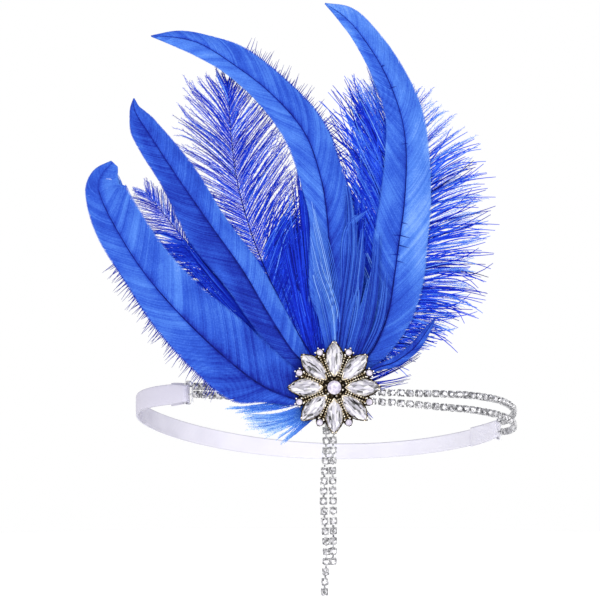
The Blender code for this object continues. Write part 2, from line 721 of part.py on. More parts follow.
def make_pad(collection):
    """A round felt pad that follows the loop, from a square grid that is drawn out to a disc and bent."""
    bm = bmesh.new()
    bmesh.ops.create_grid(bm, x_segments=PAD_CELLS, y_segments=PAD_CELLS, size=1.0)
    for vert in bm.verts:
        u, v = vert.co.x, vert.co.y
        along = PAD_RADIUS * u * math.sqrt(1.0 - v**2 / 2)
        up = PAD_RADIUS * v * math.sqrt(1.0 - u**2 / 2)
        vert.co = loop_point(degrees_of(BROOCH_X + along), PAD_MIDDLE_RADIUS, PAD_Z + up)
    pad = finish(bm, "backing_pad", collection, "felt", FELT)
    wall = pad.modifiers.new("wall", "SOLIDIFY")
    wall.thickness = PAD_THICKNESS * MM
    wall.offset = 0.0
    return pad


def main():
    clear_scene()
    parts = new_collection("flapper_headband")
    helpers = new_collection("fused_helpers")

    make_strap(parts)
    make_frame("end_frame_left", LEFT_BAR + degrees_of(FRAME_BAR_SPACING / 2), parts)
    make_frame("end_frame_right", RIGHT_BAR - degrees_of(FRAME_BAR_SPACING / 2), parts)
    make_strand("chain_upper", 0, parts, helpers)
    make_strand("chain_lower", 1, parts, helpers)
    make_tassel("tassel_long", TASSEL_LONG_X, TASSEL_LONG_TOP, TASSEL_LONG_CUPS, parts)
    make_tassel("tassel_short", TASSEL_SHORT_X, TASSEL_SHORT_TOP, TASSEL_SHORT_CUPS, parts)

    make_setting(parts, helpers)
    for petal in range(PETALS):
        make_petal_stone(f"petal_stone_{petal + 1}", petal, parts)
        valley = 360.0 / PETALS * (petal + 0.5)
        make_round_stone(
            f"accent_stone_{petal + 1}", brooch_frame(valley, ACCENT_RADIUS), ACCENT_STONE_RADIUS,
            ACCENT_CUP_TOP + STONE_CLEARANCE, ACCENT_STONE_TOP, 8, parts,
        )
    make_round_stone(
        "centre_stone", brooch_frame(), CENTRE_STONE_RADIUS,
        CENTRE_CUP_TOP + STONE_CLEARANCE, CENTRE_STONE_TOP, 12, parts,
    )

    for name in FEATHERS:
        make_feather(name, parts)
    for name in PLUMES:
        make_plume(name, parts)
    make_tuft(parts, helpers)
    make_pad(parts)


main()
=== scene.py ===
# %% [markdown]
# # A flapper headband
# The headband is a loop of elastic and cup chain with a stone brooch on its front. A fan of dyed feathers
# stands behind the brooch and two short chains hang from it. The solids come from the CAD model, and this
# notebook gives each of them its finish. The first cell loads the solids.

# %% Load the frame
import math
import random

import bmesh
import bpy
from mathutils import Matrix, Vector, noise


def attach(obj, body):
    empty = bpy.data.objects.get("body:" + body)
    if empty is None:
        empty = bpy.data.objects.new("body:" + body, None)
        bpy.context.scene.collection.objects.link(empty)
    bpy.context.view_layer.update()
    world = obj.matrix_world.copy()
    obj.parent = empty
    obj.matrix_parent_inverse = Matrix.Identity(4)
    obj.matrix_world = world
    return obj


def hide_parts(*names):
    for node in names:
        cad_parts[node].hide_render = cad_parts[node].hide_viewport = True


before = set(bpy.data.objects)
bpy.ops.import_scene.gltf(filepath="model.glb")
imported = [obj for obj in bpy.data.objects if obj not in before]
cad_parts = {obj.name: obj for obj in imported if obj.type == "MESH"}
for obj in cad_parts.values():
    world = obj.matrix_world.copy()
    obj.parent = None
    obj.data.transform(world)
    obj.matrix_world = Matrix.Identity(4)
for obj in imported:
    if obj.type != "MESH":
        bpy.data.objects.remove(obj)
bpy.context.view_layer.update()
MM = 0.001

# %% [markdown]
# ## Camera
# The photograph was taken level, from straight ahead and far away, so its lines hardly converge. A long
# lens at 1.2 m gives the same. All places in this notebook are in millimetres, and become metres when a
# mesh is finished.

# %% Camera
CAMERA = Vector((-13.0, -1200.0, 54.2))
scene = bpy.context.scene


def add_object(name, data):
    made = bpy.data.objects.new(name, data)
    scene.collection.objects.link(made)
    return made


lens = bpy.data.cameras.new("photo_camera")
lens.lens, lens.sensor_width = 150.0, 36.0
scene.camera = add_object("photo_camera", lens)
scene.camera.location = CAMERA * MM
scene.camera.rotation_euler = (math.radians(90.0), 0.0, 0.0)
scene.view_settings.view_transform = "Standard"
print("camera at", tuple(CAMERA), "mm")

# %% [markdown]
# ## Studio
# The floor and the surroundings are white, so that they blend into one background. Metal and cut stone
# need something darker to mirror, so the sky gets grey above the horizon, where no camera looks, and
# broad lamps stand in for the light that it no longer gives.

# %% World and lamps
SKY_STOPS = ((0.12, (1.0, 1.0, 1.0, 1.0)), (0.45, (0.34, 0.34, 0.37, 1.0)))  # height, colour
scene.world = bpy.data.worlds.new("studio")
scene.world.use_nodes = True
nodes, links = scene.world.node_tree.nodes, scene.world.node_tree.links
direction = nodes.new("ShaderNodeTexCoord")
split = nodes.new("ShaderNodeSeparateXYZ")
shade = nodes.new("ShaderNodeValToRGB")
for stop, (height, colour) in zip(shade.color_ramp.elements, SKY_STOPS):
    stop.position, stop.color = height, colour
links.new(direction.outputs["Generated"], split.inputs[0])
links.new(split.outputs["Z"], shade.inputs[0])
links.new(shade.outputs[0], nodes["Background"].inputs["Color"])

AIM = Vector((0.0, 0.0, 0.05))
LAMPS = (  # name, place in metres, size in metres, watts
    ("key_lamp", (-0.45, -1.3, 0.80), 0.7, 14.0),
    ("fill_lamp", (0.70, -1.2, 0.40), 0.8, 8.0),
    ("rim_lamp", (0.2, 0.8, 0.9), 0.6, 4.0),
)
for name, place, size, watts in LAMPS:
    lamp = bpy.data.lights.new(name, "AREA")
    lamp.size, lamp.energy = size, watts
    stand = add_object(name, lamp)
    stand.location = place
    stand.rotation_euler = (AIM - Vector(place)).to_track_quat("-Z", "Y").to_euler()
print(len(LAMPS), "lamps")

# %% Floor
FLOOR_Z, FLOOR_RADIUS = -120.0, 700.0


def mesh_from(bm, name):
    mesh = bpy.data.meshes.new(name)
    bm.to_mesh(mesh)
    bm.free()
    return mesh


bm = bmesh.new()
bmesh.ops.create_circle(bm, cap_ends=True, segments=64, radius=FLOOR_RADIUS * MM)
bmesh.ops.translate(bm, vec=(0.0, 0.0, FLOOR_Z * MM), verts=bm.verts)
floor_mesh = mesh_from(bm, "floor")
floor = add_object("floor", floor_mesh)
print("floor at", FLOOR_Z, "mm")

# %% [markdown]
# ## Helpers for finishes
# A finish is a Principled BSDF with nodes in front of it. Writing the sums of a pattern as Python sums is
# easier to read than adding Math nodes one by one, so a socket is wrapped in a class whose operators add
# those nodes.

# %% Sums of sockets
class Wire:
    """A shader socket that can be used in sums."""

    def __init__(self, finish, socket):
        self.finish, self.socket = finish, socket

    def maths(self, operation, first, second=0.0):
        return self.finish.node("Math", {"operation": operation}, {0: first, 1: second})

    def __add__(self, other):
        return self.maths("ADD", self, other)

    def __sub__(self, other):
        return self.maths("SUBTRACT", self, other)

    def __mul__(self, other):
        return self.maths("MULTIPLY", self, other)

    def __rsub__(self, other):
        return self.maths("SUBTRACT", other, self)

    __radd__, __rmul__ = __add__, __mul__

    def wave(self):
        return self.maths("SINE", self)


# %% Finishes
class Finish:
    """A material: its shader, the constants set on it, and the nodes that feed it."""

    def __init__(self, name, constants):
        self.material = bpy.data.materials.new(name)
        self.material.use_nodes = True
        self.tree = self.material.node_tree
        self.shader = self.tree.nodes["Principled BSDF"]
        for socket, value in constants.items():
            self.shader.inputs[socket].default_value = value

    def node(self, kind, settings=None, inputs=None, output=0):
        made = self.tree.nodes.new("ShaderNode" + kind)
        for key, value in (settings or {}).items():
            if key == "stops":
                stops = made.color_ramp.elements
                stops.remove(stops[1])
                for i, (position, colour) in enumerate(value):
                    stop = stops.new(position) if i else stops[0]
                    stop.position, stop.color = position, (*colour, 1.0)
            else:
                setattr(made, key, value)
        for socket, value in (inputs or {}).items():
            if isinstance(value, Wire):
                self.tree.links.new(value.socket, made.inputs[socket])
            else:
                made.inputs[socket].default_value = value
        return Wire(self, made.outputs[output])

    def feed(self, socket, wire):
        self.tree.links.new(wire.socket, self.shader.inputs[socket])

    def place(self, scale=(1.0, 1.0, 1.0), source="Object"):
        """Object coordinates in metres, or UV, times a scale."""
        spot = self.node("TexCoord", output=source)
        return self.node("Mapping", inputs={"Vector": spot, "Scale": scale})

    def noise(self, vector, scale, detail=2.0):
        return self.node("TexNoise", inputs={"Vector": vector, "Scale": scale, "Detail": detail})

    def ramp(self, factor, stops):
        return self.node("ValToRGB", {"stops": stops}, {0: factor})

    def mottle(self, scale, detail, stops):
        """Spots of colour all over the piece. Their noise comes back for other sockets."""
        spots = self.noise(self.place(), scale, detail)
        self.feed("Base Color", self.ramp(spots, stops))
        return spots

    def tone(self):
        """The tone that a facet or a barb keeps at its corners."""
        return self.node("Attribute", {"attribute_name": "tone"}, output="Fac")

    def bump(self, height, distance, strength=1.0):
        made = self.node("Bump", inputs={"Height": height, "Distance": distance, "Strength": strength})
        self.feed("Normal", made)


def mottled(name, constants, scale, stops, detail=2.0):
    """A finish whose colour changes in spots."""
    made = Finish(name, constants)
    made.mottle(scale, detail, stops)
    return made


# %% The floor's finish
floor_finish = Finish("pale_floor", {
    "Base Color": (0.95, 0.95, 0.95, 1.0), "Roughness": 0.9,
    "Emission Color": (1.0, 1.0, 1.0, 1.0), "Emission Strength": 0.4,
})
floor_mesh.materials.append(floor_finish.material)
print("floor finish ready")

# %% [markdown]
# ## Helpers for pieces
# Every piece is drawn in a bmesh in millimetres. One function makes it an object in metres, lets it move
# with the CAD body, hides the solid that it stands for and gives it its finish.

# %% Making a piece
def hand_over(made, replaces):
    """Every piece rides on the part's one body."""
    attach(made, "root")
    if replaces:
        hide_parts(*replaces)
    return made


def piece(name, bm, finish, replaces=(), sharp=40.0):
    """A bmesh as a finished piece. Edges stay sharp where faces meet at more degrees than that."""
    bmesh.ops.scale(bm, vec=(MM, MM, MM), verts=bm.verts)
    mesh = mesh_from(bm, name)
    mesh.materials.append(finish.material)
    mesh.shade_smooth()
    mesh.set_sharp_from_angle(angle=math.radians(sharp))
    print(name, len(mesh.polygons), "faces")
    return hand_over(add_object(name, mesh), replaces)


def face_corners(bm):
    return [loop for face in bm.faces for loop in face.loops]


def round_wire(name, route, resolution, finish, replaces=(), closed=False):
    """A curve with a round section. Its route is a list of (place, radius)."""
    curve = bpy.data.curves.new(name, "CURVE")
    curve.dimensions, curve.bevel_depth, curve.bevel_resolution = "3D", MM, resolution
    curve.use_fill_caps = not closed
    spline = curve.splines.new("POLY")
    spline.points.add(len(route) - 1)
    spline.use_cyclic_u = closed
    for point, (place, radius) in zip(spline.points, route):
        point.co = (*(place * MM), 1.0)
        point.radius = radius
    curve.materials.append(finish.material)
    hand_over(add_object(name, curve), replaces)


def thicken(made, thickness, edge_radius, segments):
    """Gives a sheet its wall, and the wall round edges."""
    wall = made.modifiers.new("wall", "SOLIDIFY")
    wall.thickness, wall.offset = thickness * MM, 0.0
    edge = made.modifiers.new("round_edge", "BEVEL")
    edge.width, edge.segments, edge.limit_method = edge_radius * MM, segments, "ANGLE"


# %% [markdown]
# Widths, heights and outlines come from short tables. A curve through a table's rows, whose slope at a row
# follows its neighbours, gives smooth values in between.

# %% Smooth tables
def smooth_row(table, key):
    """A table's other columns at a value of its first one, on a smooth curve through its rows."""
    keys = [row[0] for row in table]
    i = max(j for j in range(len(keys) - 1) if j == 0 or keys[j] <= key)
    before, after = max(i - 1, 0), min(i + 2, len(keys) - 1)
    span = keys[i + 1] - keys[i]
    t = (key - keys[i]) / span
    found = []
    for column in range(1, len(table[0])):
        start, end = table[i][column], table[i + 1][column]
        slope = (end - table[before][column]) / (keys[i + 1] - keys[before]) * span
        next_slope = (table[after][column] - start) / (keys[after] - keys[i]) * span
        found.append(
            (2 * t**3 - 3 * t**2 + 1) * start
            + (t**3 - 2 * t**2 + t) * slope
            + (3 * t**2 - 2 * t**3) * end
            + (t**3 - t**2) * next_slope
        )
    return found


# %% [markdown]
# ## The loop
# Seen from above the loop is a circle. It is tilted, with its front high, and its front and back hang a
# little below that tilted plane. The strap and the chains both lie on it, so they share these functions.

# %% Places on the loop
LOOP_RADIUS = 91.0
FRONT_RISE, SAG, SIDE_TILT = 18.25, 5.55, 2.35


def strap_height(azimuth):
    turn = math.radians(azimuth)
    return FRONT_RISE * math.cos(turn) - SAG * math.cos(turn) ** 2 - SIDE_TILT * math.sin(turn)


def loop_point(azimuth, radius, height):
    turn = math.radians(azimuth)
    return Vector((radius * math.sin(turn), -radius * math.cos(turn), height))


def loop_frame(azimuth, radius, height):
    """X runs along the loop, Y is up and Z points outwards."""
    turn = math.radians(azimuth)
    along = Vector((math.cos(turn), math.sin(turn), 0.0))
    outwards = Vector((math.sin(turn), -math.cos(turn), 0.0))
    axes = Matrix((along, Vector((0.0, 0.0, 1.0)), outwards)).transposed().to_4x4()
    return Matrix.Translation(loop_point(azimuth, radius, height)) @ axes


def degrees_of(length):
    return math.degrees(length / LOOP_RADIUS)


# %% Where the chains start and end
CHAIN_PITCH = 4.45
CHAIN_START, CHAIN_CUPS = -41.0, 54
RING_REACH = 2.9
FRAME_BAR_SPACING = 4.4
CHAIN_END = CHAIN_START + degrees_of(CHAIN_PITCH) * (CHAIN_CUPS - 1)
LEFT_BAR = CHAIN_START - degrees_of(RING_REACH + FRAME_BAR_SPACING)
RIGHT_BAR = CHAIN_END + degrees_of(RING_REACH + FRAME_BAR_SPACING) - 360.0
print("bars at", round(LEFT_BAR, 1), "and", round(RIGHT_BAR, 1), "degrees")

# %% [markdown]
# ## Elastic strap
# The strap is flat woven elastic with a soft, slightly lavender white. Its ends are folded round the
# frames' bars and stitched, which shows as steps at the right. A grid is laid along the route and given
# its wall, and the weave is in the finish, because a thread is finer than the mesh.

# %% Elastic finish
STRAP_WIDTH, STRAP_THICKNESS = 10.0, 1.0
RIBS_TO_A_MM, PICKS_TO_A_MM = 1.6, 1.1
EDGE_BAND = 0.45

elastic = Finish("white_elastic", {"Roughness": 0.85, "Specular IOR Level": 0.2})
cloth = elastic.place((1.0, 1.0, 1.0), "UV")
across = elastic.node("SeparateXYZ", inputs={0: cloth}, output="X")
along = elastic.node("SeparateXYZ", inputs={0: cloth}, output="Y")
ribs = (across * 2.0 * math.pi * RIBS_TO_A_MM).wave() * 0.5 + 0.5
picks = (along * 2.0 * math.pi * PICKS_TO_A_MM).wave() * 0.5 + 0.5
weave = ribs * 0.7 + picks * ribs * 0.3
patches = elastic.noise(elastic.place(), 38.0, 3.0)
# Painted shade: the strap is darker towards its left end and paler towards its right, on top of its weave and
# patches.
paleness_with_painted_shade = (weave - 0.5) * 0.06 + (patches - 0.5) * 0.3 + along * 0.0018 + 0.2
fabric = elastic.ramp(paleness_with_painted_shade, (
    (0.22, (0.58, 0.56, 0.65)),
    (0.38, (0.62, 0.60, 0.68)),
    (0.5, (0.77, 0.75, 0.82)),
    (0.75, (0.89, 0.87, 0.93)),
))
# The strap's face is a little darker in a thin band along each edge.
off_middle = elastic.node("Math", {"operation": "ABSOLUTE"}, {0: across - STRAP_WIDTH / 2})
edge_line = elastic.node("Math", {"operation": "GREATER_THAN"}, {0: off_middle, 1: STRAP_WIDTH / 2 - EDGE_BAND})
FACTOR, FIRST_COLOUR, SECOND_COLOUR, MIXED_COLOUR = 0, 6, 7, 2  # places of the Mix node's sockets
mix = {FACTOR: edge_line * 0.4, FIRST_COLOUR: fabric, SECOND_COLOUR: (0.42, 0.42, 0.48, 1.0)}
elastic.feed("Base Color", elastic.node("Mix", {"data_type": "RGBA"}, mix, MIXED_COLOUR))
elastic.bump(weave + elastic.noise(cloth, 2.0) * 0.4, 0.00006, 0.6)
print("elastic finish ready")

# %% The strap's route
FOLD_RADIUS, FOLD_RUN_RADIUS = 1.5, 89.7
FOLD_LENGTH_LEFT, FOLD_LENGTH_RIGHT = 12.0, 22.0


def fold_turn(bar, side):
    """The turn round a frame's bar, as azimuths and radii from the outer run to the inner one."""
    turns = [math.pi * step / 8 for step in range(9)]
    return [(bar + side * degrees_of(FOLD_RADIUS * math.sin(t)), LOOP_RADIUS + FOLD_RADIUS * math.cos(t))
            for t in turns]


def strap_route():
    step = degrees_of(5.0)
    left = [(LEFT_BAR - degrees_of(reach), FOLD_RUN_RADIUS) for reach in (FOLD_LENGTH_LEFT, 9.0, 7.0, 5.0)]
    right = [(RIGHT_BAR + degrees_of(reach), FOLD_RUN_RADIUS) for reach in (5.0, 8.0, 11.0, 15.0, 18.0)]
    right.append((RIGHT_BAR + degrees_of(FOLD_LENGTH_RIGHT), FOLD_RUN_RADIUS))
    first, last = LEFT_BAR - 1.6 * step, RIGHT_BAR + 1.6 * step
    count = round((first - last) / 2.5)
    arc = [(first + (last - first) * i / count, LOOP_RADIUS) for i in range(count + 1)]
    return left + fold_turn(LEFT_BAR, 1.0)[::-1] + arc + fold_turn(RIGHT_BAR, -1.0) + right


route = strap_route()
runs = [0.0]
for near, far in zip(route, route[1:]):
    runs.append(runs[-1] + (loop_point(*near, 0.0) - loop_point(*far, 0.0)).length)
print("strap is", round(runs[-1]), "mm long")

# %% Elastic strap
STRAP_WIDTH_TABLE = (  # azimuth, width
    (-247, 8.2),
    (-236, 8.8),
    (-195, 8.4),
    (-165, 9.2),
    (-130, 10),
    (-90, 9.8),
    (-52, 9.8),
    (-46, 8.4),
)
STRAP_CELLS_ACROSS, FLAP_EXTRA = 8, 1.3

bm = bmesh.new()
bmesh.ops.create_grid(bm, x_segments=STRAP_CELLS_ACROSS, y_segments=len(route) - 1, size=0.5)
weave_map = bm.loops.layers.uv.new("weave")
for loop in face_corners(bm):
    at = round((loop.vert.co.y + 0.5) * (len(route) - 1))
    loop[weave_map].uv = ((loop.vert.co.x + 0.5) * STRAP_WIDTH, runs[at])
for vert in bm.verts:
    share = vert.co.x * 2.0
    azimuth, radius = route[round((vert.co.y + 0.5) * (len(route) - 1))]
    (width,) = smooth_row(STRAP_WIDTH_TABLE, azimuth)
    width += FLAP_EXTRA * (radius < LOOP_RADIUS - 1.0)
    bulge = 0.12 * (1.0 - abs(share) ** 3)
    vert.co = loop_point(azimuth, radius + bulge, strap_height(azimuth) + share * (width / 2 - 0.25))
strap = piece("woven_strap", bm, elastic, ["elastic_strap"])
thicken(strap, STRAP_THICKNESS, 0.3, 2)

# %% [markdown]
# ## Silver wire and cup chain
# Each strand is a row of square cups with four prongs that hold a round cut stone. One cup and one stone
# are modelled once, and copies are set along the strand. The stones have foil behind them, so they look
# like a mosaic of white, grey and black facets more than like clear glass. That mosaic is painted: each
# facet gets its own tone, a painted reflection, and the finish adds painted glints in small cells.

# %% Silver and stone finishes
silver = Finish("silver", {"Metallic": 1.0, "Base Color": (0.80, 0.80, 0.82, 1.0)})
tarnish = silver.noise(silver.place(), 900.0, 3.0)
silver.feed("Roughness", tarnish * 0.25 + 0.12)
silver.bump(tarnish, 0.00004, 0.3)

# Painted reflections and shade: the cups' metal is mottled from near black to pale grey in spots.
chain_silver_painted_reflections = mottled("chain_silver_painted_reflections", {"Metallic": 0.6, "Roughness": 0.35}, 800.0, (
    (0.38, (0.13, 0.13, 0.14)), (0.5, (0.36, 0.36, 0.37)), (0.62, (0.76, 0.76, 0.76)),
))


def stone_finish(name, stops, roughness, painted_glint_cells):
    """Painted reflections: facets by their tone, and painted glints as cells that many to a millimetre."""
    made = Finish(name, {
        "Roughness": roughness, "Coat Weight": 0.6, "Coat Roughness": 0.02, "IOR": 1.5, "Metallic": 0.25,
    })
    cells = made.node("TexVoronoi", {"voronoi_dimensions": "2D"}, {
        "Vector": made.place((*painted_glint_cells, 1.0), "UV"), "Scale": 1.0,
    }, "Color")
    painted_glint = made.node("SeparateColor", inputs={0: cells}, output="Red")
    made.feed("Base Color", made.ramp(made.tone() * 0.5 + painted_glint * 0.5, stops))
    return made


# The rhinestones' black, grey and white facets are painted reflections.
rhinestone = stone_finish("rhinestone", (
    (0.15, (0.04, 0.04, 0.04)),
    (0.35, (0.22, 0.22, 0.23)),
    (0.6, (0.58, 0.57, 0.59)),
    (0.85, (0.94, 0.94, 0.94)),
), 0.1, (1.3, 1.3))
print("silver and stone finishes ready")

# %% Places, blocks and copies
def add_copy(bm, mesh, place):
    """Adds a mesh to a bmesh at a place."""
    first = len(bm.verts)
    bm.from_mesh(mesh)
    bm.verts.ensure_lookup_table()
    bmesh.ops.transform(bm, matrix=place, verts=bm.verts[first:])


def shift(x, y, z):
    return Matrix.Translation((x, y, z))


def turned(degrees, axis):
    return Matrix.Rotation(math.radians(degrees), 4, axis)


def add_block(bm, place, size):
    bmesh.ops.create_cube(bm, size=1.0, matrix=place @ Matrix.Diagonal((*size, 1.0)))


# %% One cup
CUP_WIDTH, CUP_DEPTH, CUP_CORNER, CUP_WALL = 3.3, 1.4, 0.8, 0.3
PRONG_RADIUS, PRONG_LENGTH, PRONG_LEAN = 0.24, 1.1, -28.0
LEDGE, HOLLOW = 0.12, 0.5


def make_cup():
    bm = bmesh.new()
    add_block(bm, shift(0.0, 0.0, CUP_DEPTH / 2), (CUP_WIDTH, CUP_WIDTH, CUP_DEPTH))
    posts = [e for e in bm.edges if abs(e.verts[0].co.z - e.verts[1].co.z) > 0.5]
    bmesh.ops.bevel(bm, geom=posts, offset=CUP_CORNER, segments=2, profile=0.5, affect="EDGES", material=-1)
    rim = max(bm.faces, key=lambda face: face.calc_center_median().z)
    bmesh.ops.inset_individual(bm, faces=[rim], thickness=CUP_WALL, depth=0.0)
    bmesh.ops.inset_individual(bm, faces=[rim], thickness=LEDGE, depth=-HOLLOW)
    for quarter in range(4):
        corner = turned(90.0 * quarter + 45.0, "Z") @ shift(CUP_WIDTH * 0.53, 0.0, CUP_DEPTH + 0.1)
        bmesh.ops.create_cone(bm, cap_ends=True, segments=5, radius1=PRONG_RADIUS, radius2=PRONG_RADIUS * 0.7,
                              depth=PRONG_LENGTH, matrix=corner @ turned(PRONG_LEAN, "Y"))
    return mesh_from(bm, "cup")


cup = make_cup()
print("cup", len(cup.polygons), "faces")

# %% One stone
STONE_RADIUS, STONE_LOW, STONE_TOP = 1.42, 1.2, 2.25


def cut_stone(outlines):
    """A faceted stone: the hull of the outlines of its girdle, crown and table."""
    bm = bmesh.new()
    for outline in outlines:
        for point in outline:
            bm.verts.new(point)
    bmesh.ops.convex_hull(bm, input=bm.verts)
    bmesh.ops.dissolve_limit(bm, angle_limit=0.01, verts=bm.verts, edges=bm.edges)
    facets = bm.loops.layers.uv.new("facets")
    for loop in face_corners(bm):
        loop[facets].uv = loop.vert.co.xy
    return bm


def ring_points(radius, count, height, turn=0.0):
    return [Vector((radius * math.cos(2 * math.pi * (i + turn) / count),
                    radius * math.sin(2 * math.pi * (i + turn) / count), height)) for i in range(count)]


rise = STONE_TOP - STONE_LOW
brilliant = mesh_from(cut_stone((
    ring_points(STONE_RADIUS * 0.55, 8, STONE_LOW - rise * 0.2),
    ring_points(STONE_RADIUS, 16, STONE_LOW + rise * 0.25),
    ring_points(STONE_RADIUS * 0.82, 8, STONE_LOW + rise * 0.72, 0.5),
    ring_points(STONE_RADIUS * 0.55, 8, STONE_TOP),
)), "brilliant")
print("stone", len(brilliant.polygons), "faces")

# %% [markdown]
# A facet's tone, its painted reflection, has to be the same all over the facet, and different on the next
# one. The facets are cut apart from each other, so that each has corners of its own to keep the tone on.

# %% Tones for facets
def paint_facet_reflections(bm, seed, spread=0.5, darkest=0.0):
    """Cuts every facet apart and gives each one its own tone, a painted reflection."""
    chance = random.Random(seed)
    bmesh.ops.split_edges(bm, edges=bm.edges)
    layer = bm.verts.layers.float.new("tone")
    for face in bm.faces:
        tone = max(darkest, 1.0 - abs(chance.gauss(0.0, spread)))
        for vert in face.verts:
            vert[layer] = tone


# %% [markdown]
# In a strand the cups hang together by short bars, and no cup sits quite straight. All the metal is one
# mesh and all the stones are another, which keeps the scene small. Each cup is turned a little at random,
# so that its stone catches the light in its own way.

# %% A strand
RING_RADIUS, RING_WIRE_RADIUS = 1.25, 0.35
LINK_OVERLAP, LINK_WIDTH, LINK_DEPTH, LINK_HEIGHT = 0.4, 0.9, 0.5, 0.5
CUP_TWIST, CUP_LEAN = 4.0, 3.0  # degrees at most


def strand(name, places, seed, rings=()):
    """The cups, the bars between them and the end rings as one piece, and the stones as another."""
    metal = bmesh.new()
    stones = bmesh.new()
    chance = random.Random(seed)
    for place in places:
        seat = place @ turned(chance.uniform(-CUP_TWIST, CUP_TWIST), "Z")
        seat = seat @ turned(chance.uniform(-CUP_LEAN, CUP_LEAN), "X")
        add_copy(metal, cup, seat)
        add_copy(stones, brilliant, seat @ Matrix.Rotation(chance.uniform(0.0, 3.0), 4, "Z"))
    link_size = (CHAIN_PITCH - CUP_WIDTH + LINK_OVERLAP, LINK_WIDTH, LINK_DEPTH)
    for near, far in zip(places, places[1:]):
        add_block(metal, near.lerp(far, 0.5) @ shift(0.0, 0.0, LINK_HEIGHT), link_size)
    for place in rings:
        section = bmesh.ops.create_circle(
            metal, segments=8, radius=RING_WIRE_RADIUS, matrix=place @ shift(RING_RADIUS, 0.0, 0.0))["verts"]
        edges = list({edge for vert in section for edge in vert.link_edges})
        bmesh.ops.spin(metal, geom=section + edges, cent=place.translation, angle=2 * math.pi, steps=20,
                       axis=place.to_3x3() @ Vector((0.0, 1.0, 0.0)), use_merge=True)
    paint_facet_reflections(stones, seed)
    piece(name + "_cups", metal, chain_silver_painted_reflections, [name], 35.0)
    piece(name + "_stones", stones, rhinestone, (), 5.0)


# %% [markdown]
# The two front strands run from the left end frame round the front to the right one. They hang slack and
# spread a little towards the right, so their heights are a table of a few rows, and a smooth curve through
# those rows places every cup.

# %% The strands round the loop
CUP_BACK_RADIUS = 90.2
CHAIN_HEIGHT_TABLE = (  # azimuth, height of the upper strand, height of the lower strand
    (-46, 15.4, 11.8),
    (-41, 15.1, 11.5),
    (0, 14.1, 10.1),
    (16, 13, 8.8),
    (33, 12, 6.2),
    (45.5, 10.8, 4.3),
    (60, 8, 1.1),
    (75, 3.8, -3),
    (90, 0.2, -6.8),
    (103, -4.2, -9.8),
    (110, -6.2, -10.8),
)
PULLED_IN, PULLED_AT, PULLED_OVER = 1.6, 84.0, 15.0


def chain_radius(azimuth):
    """The strands are pulled in a little where they turn backwards."""
    return CUP_BACK_RADIUS - PULLED_IN * math.exp(-((azimuth - PULLED_AT) / PULLED_OVER) ** 2)


for column, name in enumerate(("chain_upper", "chain_lower")):
    places, rings = [], []
    for i in range(CHAIN_CUPS):
        azimuth = CHAIN_START + degrees_of(CHAIN_PITCH) * i
        height = smooth_row(CHAIN_HEIGHT_TABLE, azimuth)[column]
        ahead = smooth_row(CHAIN_HEIGHT_TABLE, azimuth + 1.0)[column]
        slope = math.atan2(ahead - height, math.radians(1.0) * LOOP_RADIUS)
        places.append(loop_frame(azimuth, chain_radius(azimuth), height) @ Matrix.Rotation(slope, 4, "Z"))
    for last_cup, side in ((CHAIN_START, -1.0), (CHAIN_END, 1.0)):
        height = smooth_row(CHAIN_HEIGHT_TABLE, last_cup)[column]
        rings.append(loop_frame(last_cup + side * degrees_of(RING_REACH), LOOP_RADIUS, height))
    strand(name, places, 11 + column, rings)

# %% [markdown]
# Two short strands hang from behind the brooch. They hang straight apart from a slight wave, so a row of
# places that goes down and swings aside a little is enough. Their ends are hidden or loose and have no rings.

# %% The hanging strands
TASSEL_BACK = -94.9
TASSELS = (  # name, x, height of the first cup, number of cups, millimetres that its end swings aside
    ("tassel_long", -2.0, 5.4, 19, 0.6),
    ("tassel_short", 1.55, 5.6, 16, 0.2),
)
HANGING = turned(90.0, "X") @ turned(-90.0, "Z")

for seed, (name, x, top, count, swing) in enumerate(TASSELS):
    places = []
    for i in range(count):
        aside = swing * math.sin(i * 0.55 + seed)
        places.append(shift(x + aside, TASSEL_BACK, top - CHAIN_PITCH * i) @ HANGING)
    strand(name, places, 31 + seed)

# %% [markdown]
# ## End frames
# A small rectangle of silver wire joins the strap to the two strands at each side. A closed curve with a
# round section makes it, with arcs for its corners.

# %% End frames
FRAME_INNER_HEIGHT, FRAME_WIRE_RADIUS, FRAME_CORNER_RADIUS = 9.2, 0.55, 1.2


def wire_frame(name, azimuth, node):
    half_width, half_height = FRAME_BAR_SPACING / 2, FRAME_INNER_HEIGHT / 2 + FRAME_WIRE_RADIUS
    place = loop_frame(azimuth, LOOP_RADIUS, strap_height(azimuth))
    route = []
    for quarter, (side, up) in enumerate(((1, 1), (-1, 1), (-1, -1), (1, -1))):
        for turn in range(0, 91, 15):
            angle = math.radians(90.0 * quarter + turn)
            x = side * (half_width - FRAME_CORNER_RADIUS) + FRAME_CORNER_RADIUS * math.cos(angle)
            y = up * (half_height - FRAME_CORNER_RADIUS) + FRAME_CORNER_RADIUS * math.sin(angle)
            route.append((place @ Vector((x, y, 0.0)), FRAME_WIRE_RADIUS))
    round_wire(name, route, 4, silver, [node], closed=True)


wire_frame("wire_frame_left", LEFT_BAR + degrees_of(FRAME_BAR_SPACING / 2), "end_frame_left")
wire_frame("wire_frame_right", RIGHT_BAR - degrees_of(FRAME_BAR_SPACING / 2), "end_frame_right")
print("frames at", round(LEFT_BAR, 1), round(RIGHT_BAR, 1))

# %% [markdown]
# ## Brooch
# The brooch is a cast flower: eight pointed cups for the petal stones, twisted wire and little balls in
# the valleys, and dark patina wherever polish didn't reach. All of it is set on the brooch's own axes, so
# one petal is modelled once and turned eight times.

# %% Brass, pearl and crystal finishes
brass = Finish("antique_brass", {"Metallic": 1.0})
grime = brass.mottle(700.0, 4.0, (
    (0.45, (0.008, 0.006, 0.005)), (0.6, (0.035, 0.024, 0.010)), (0.75, (0.22, 0.15, 0.06)),
))
brass.feed("Roughness", 0.65 - grime * 0.35)
brass.bump(grime, 0.0001, 0.6)
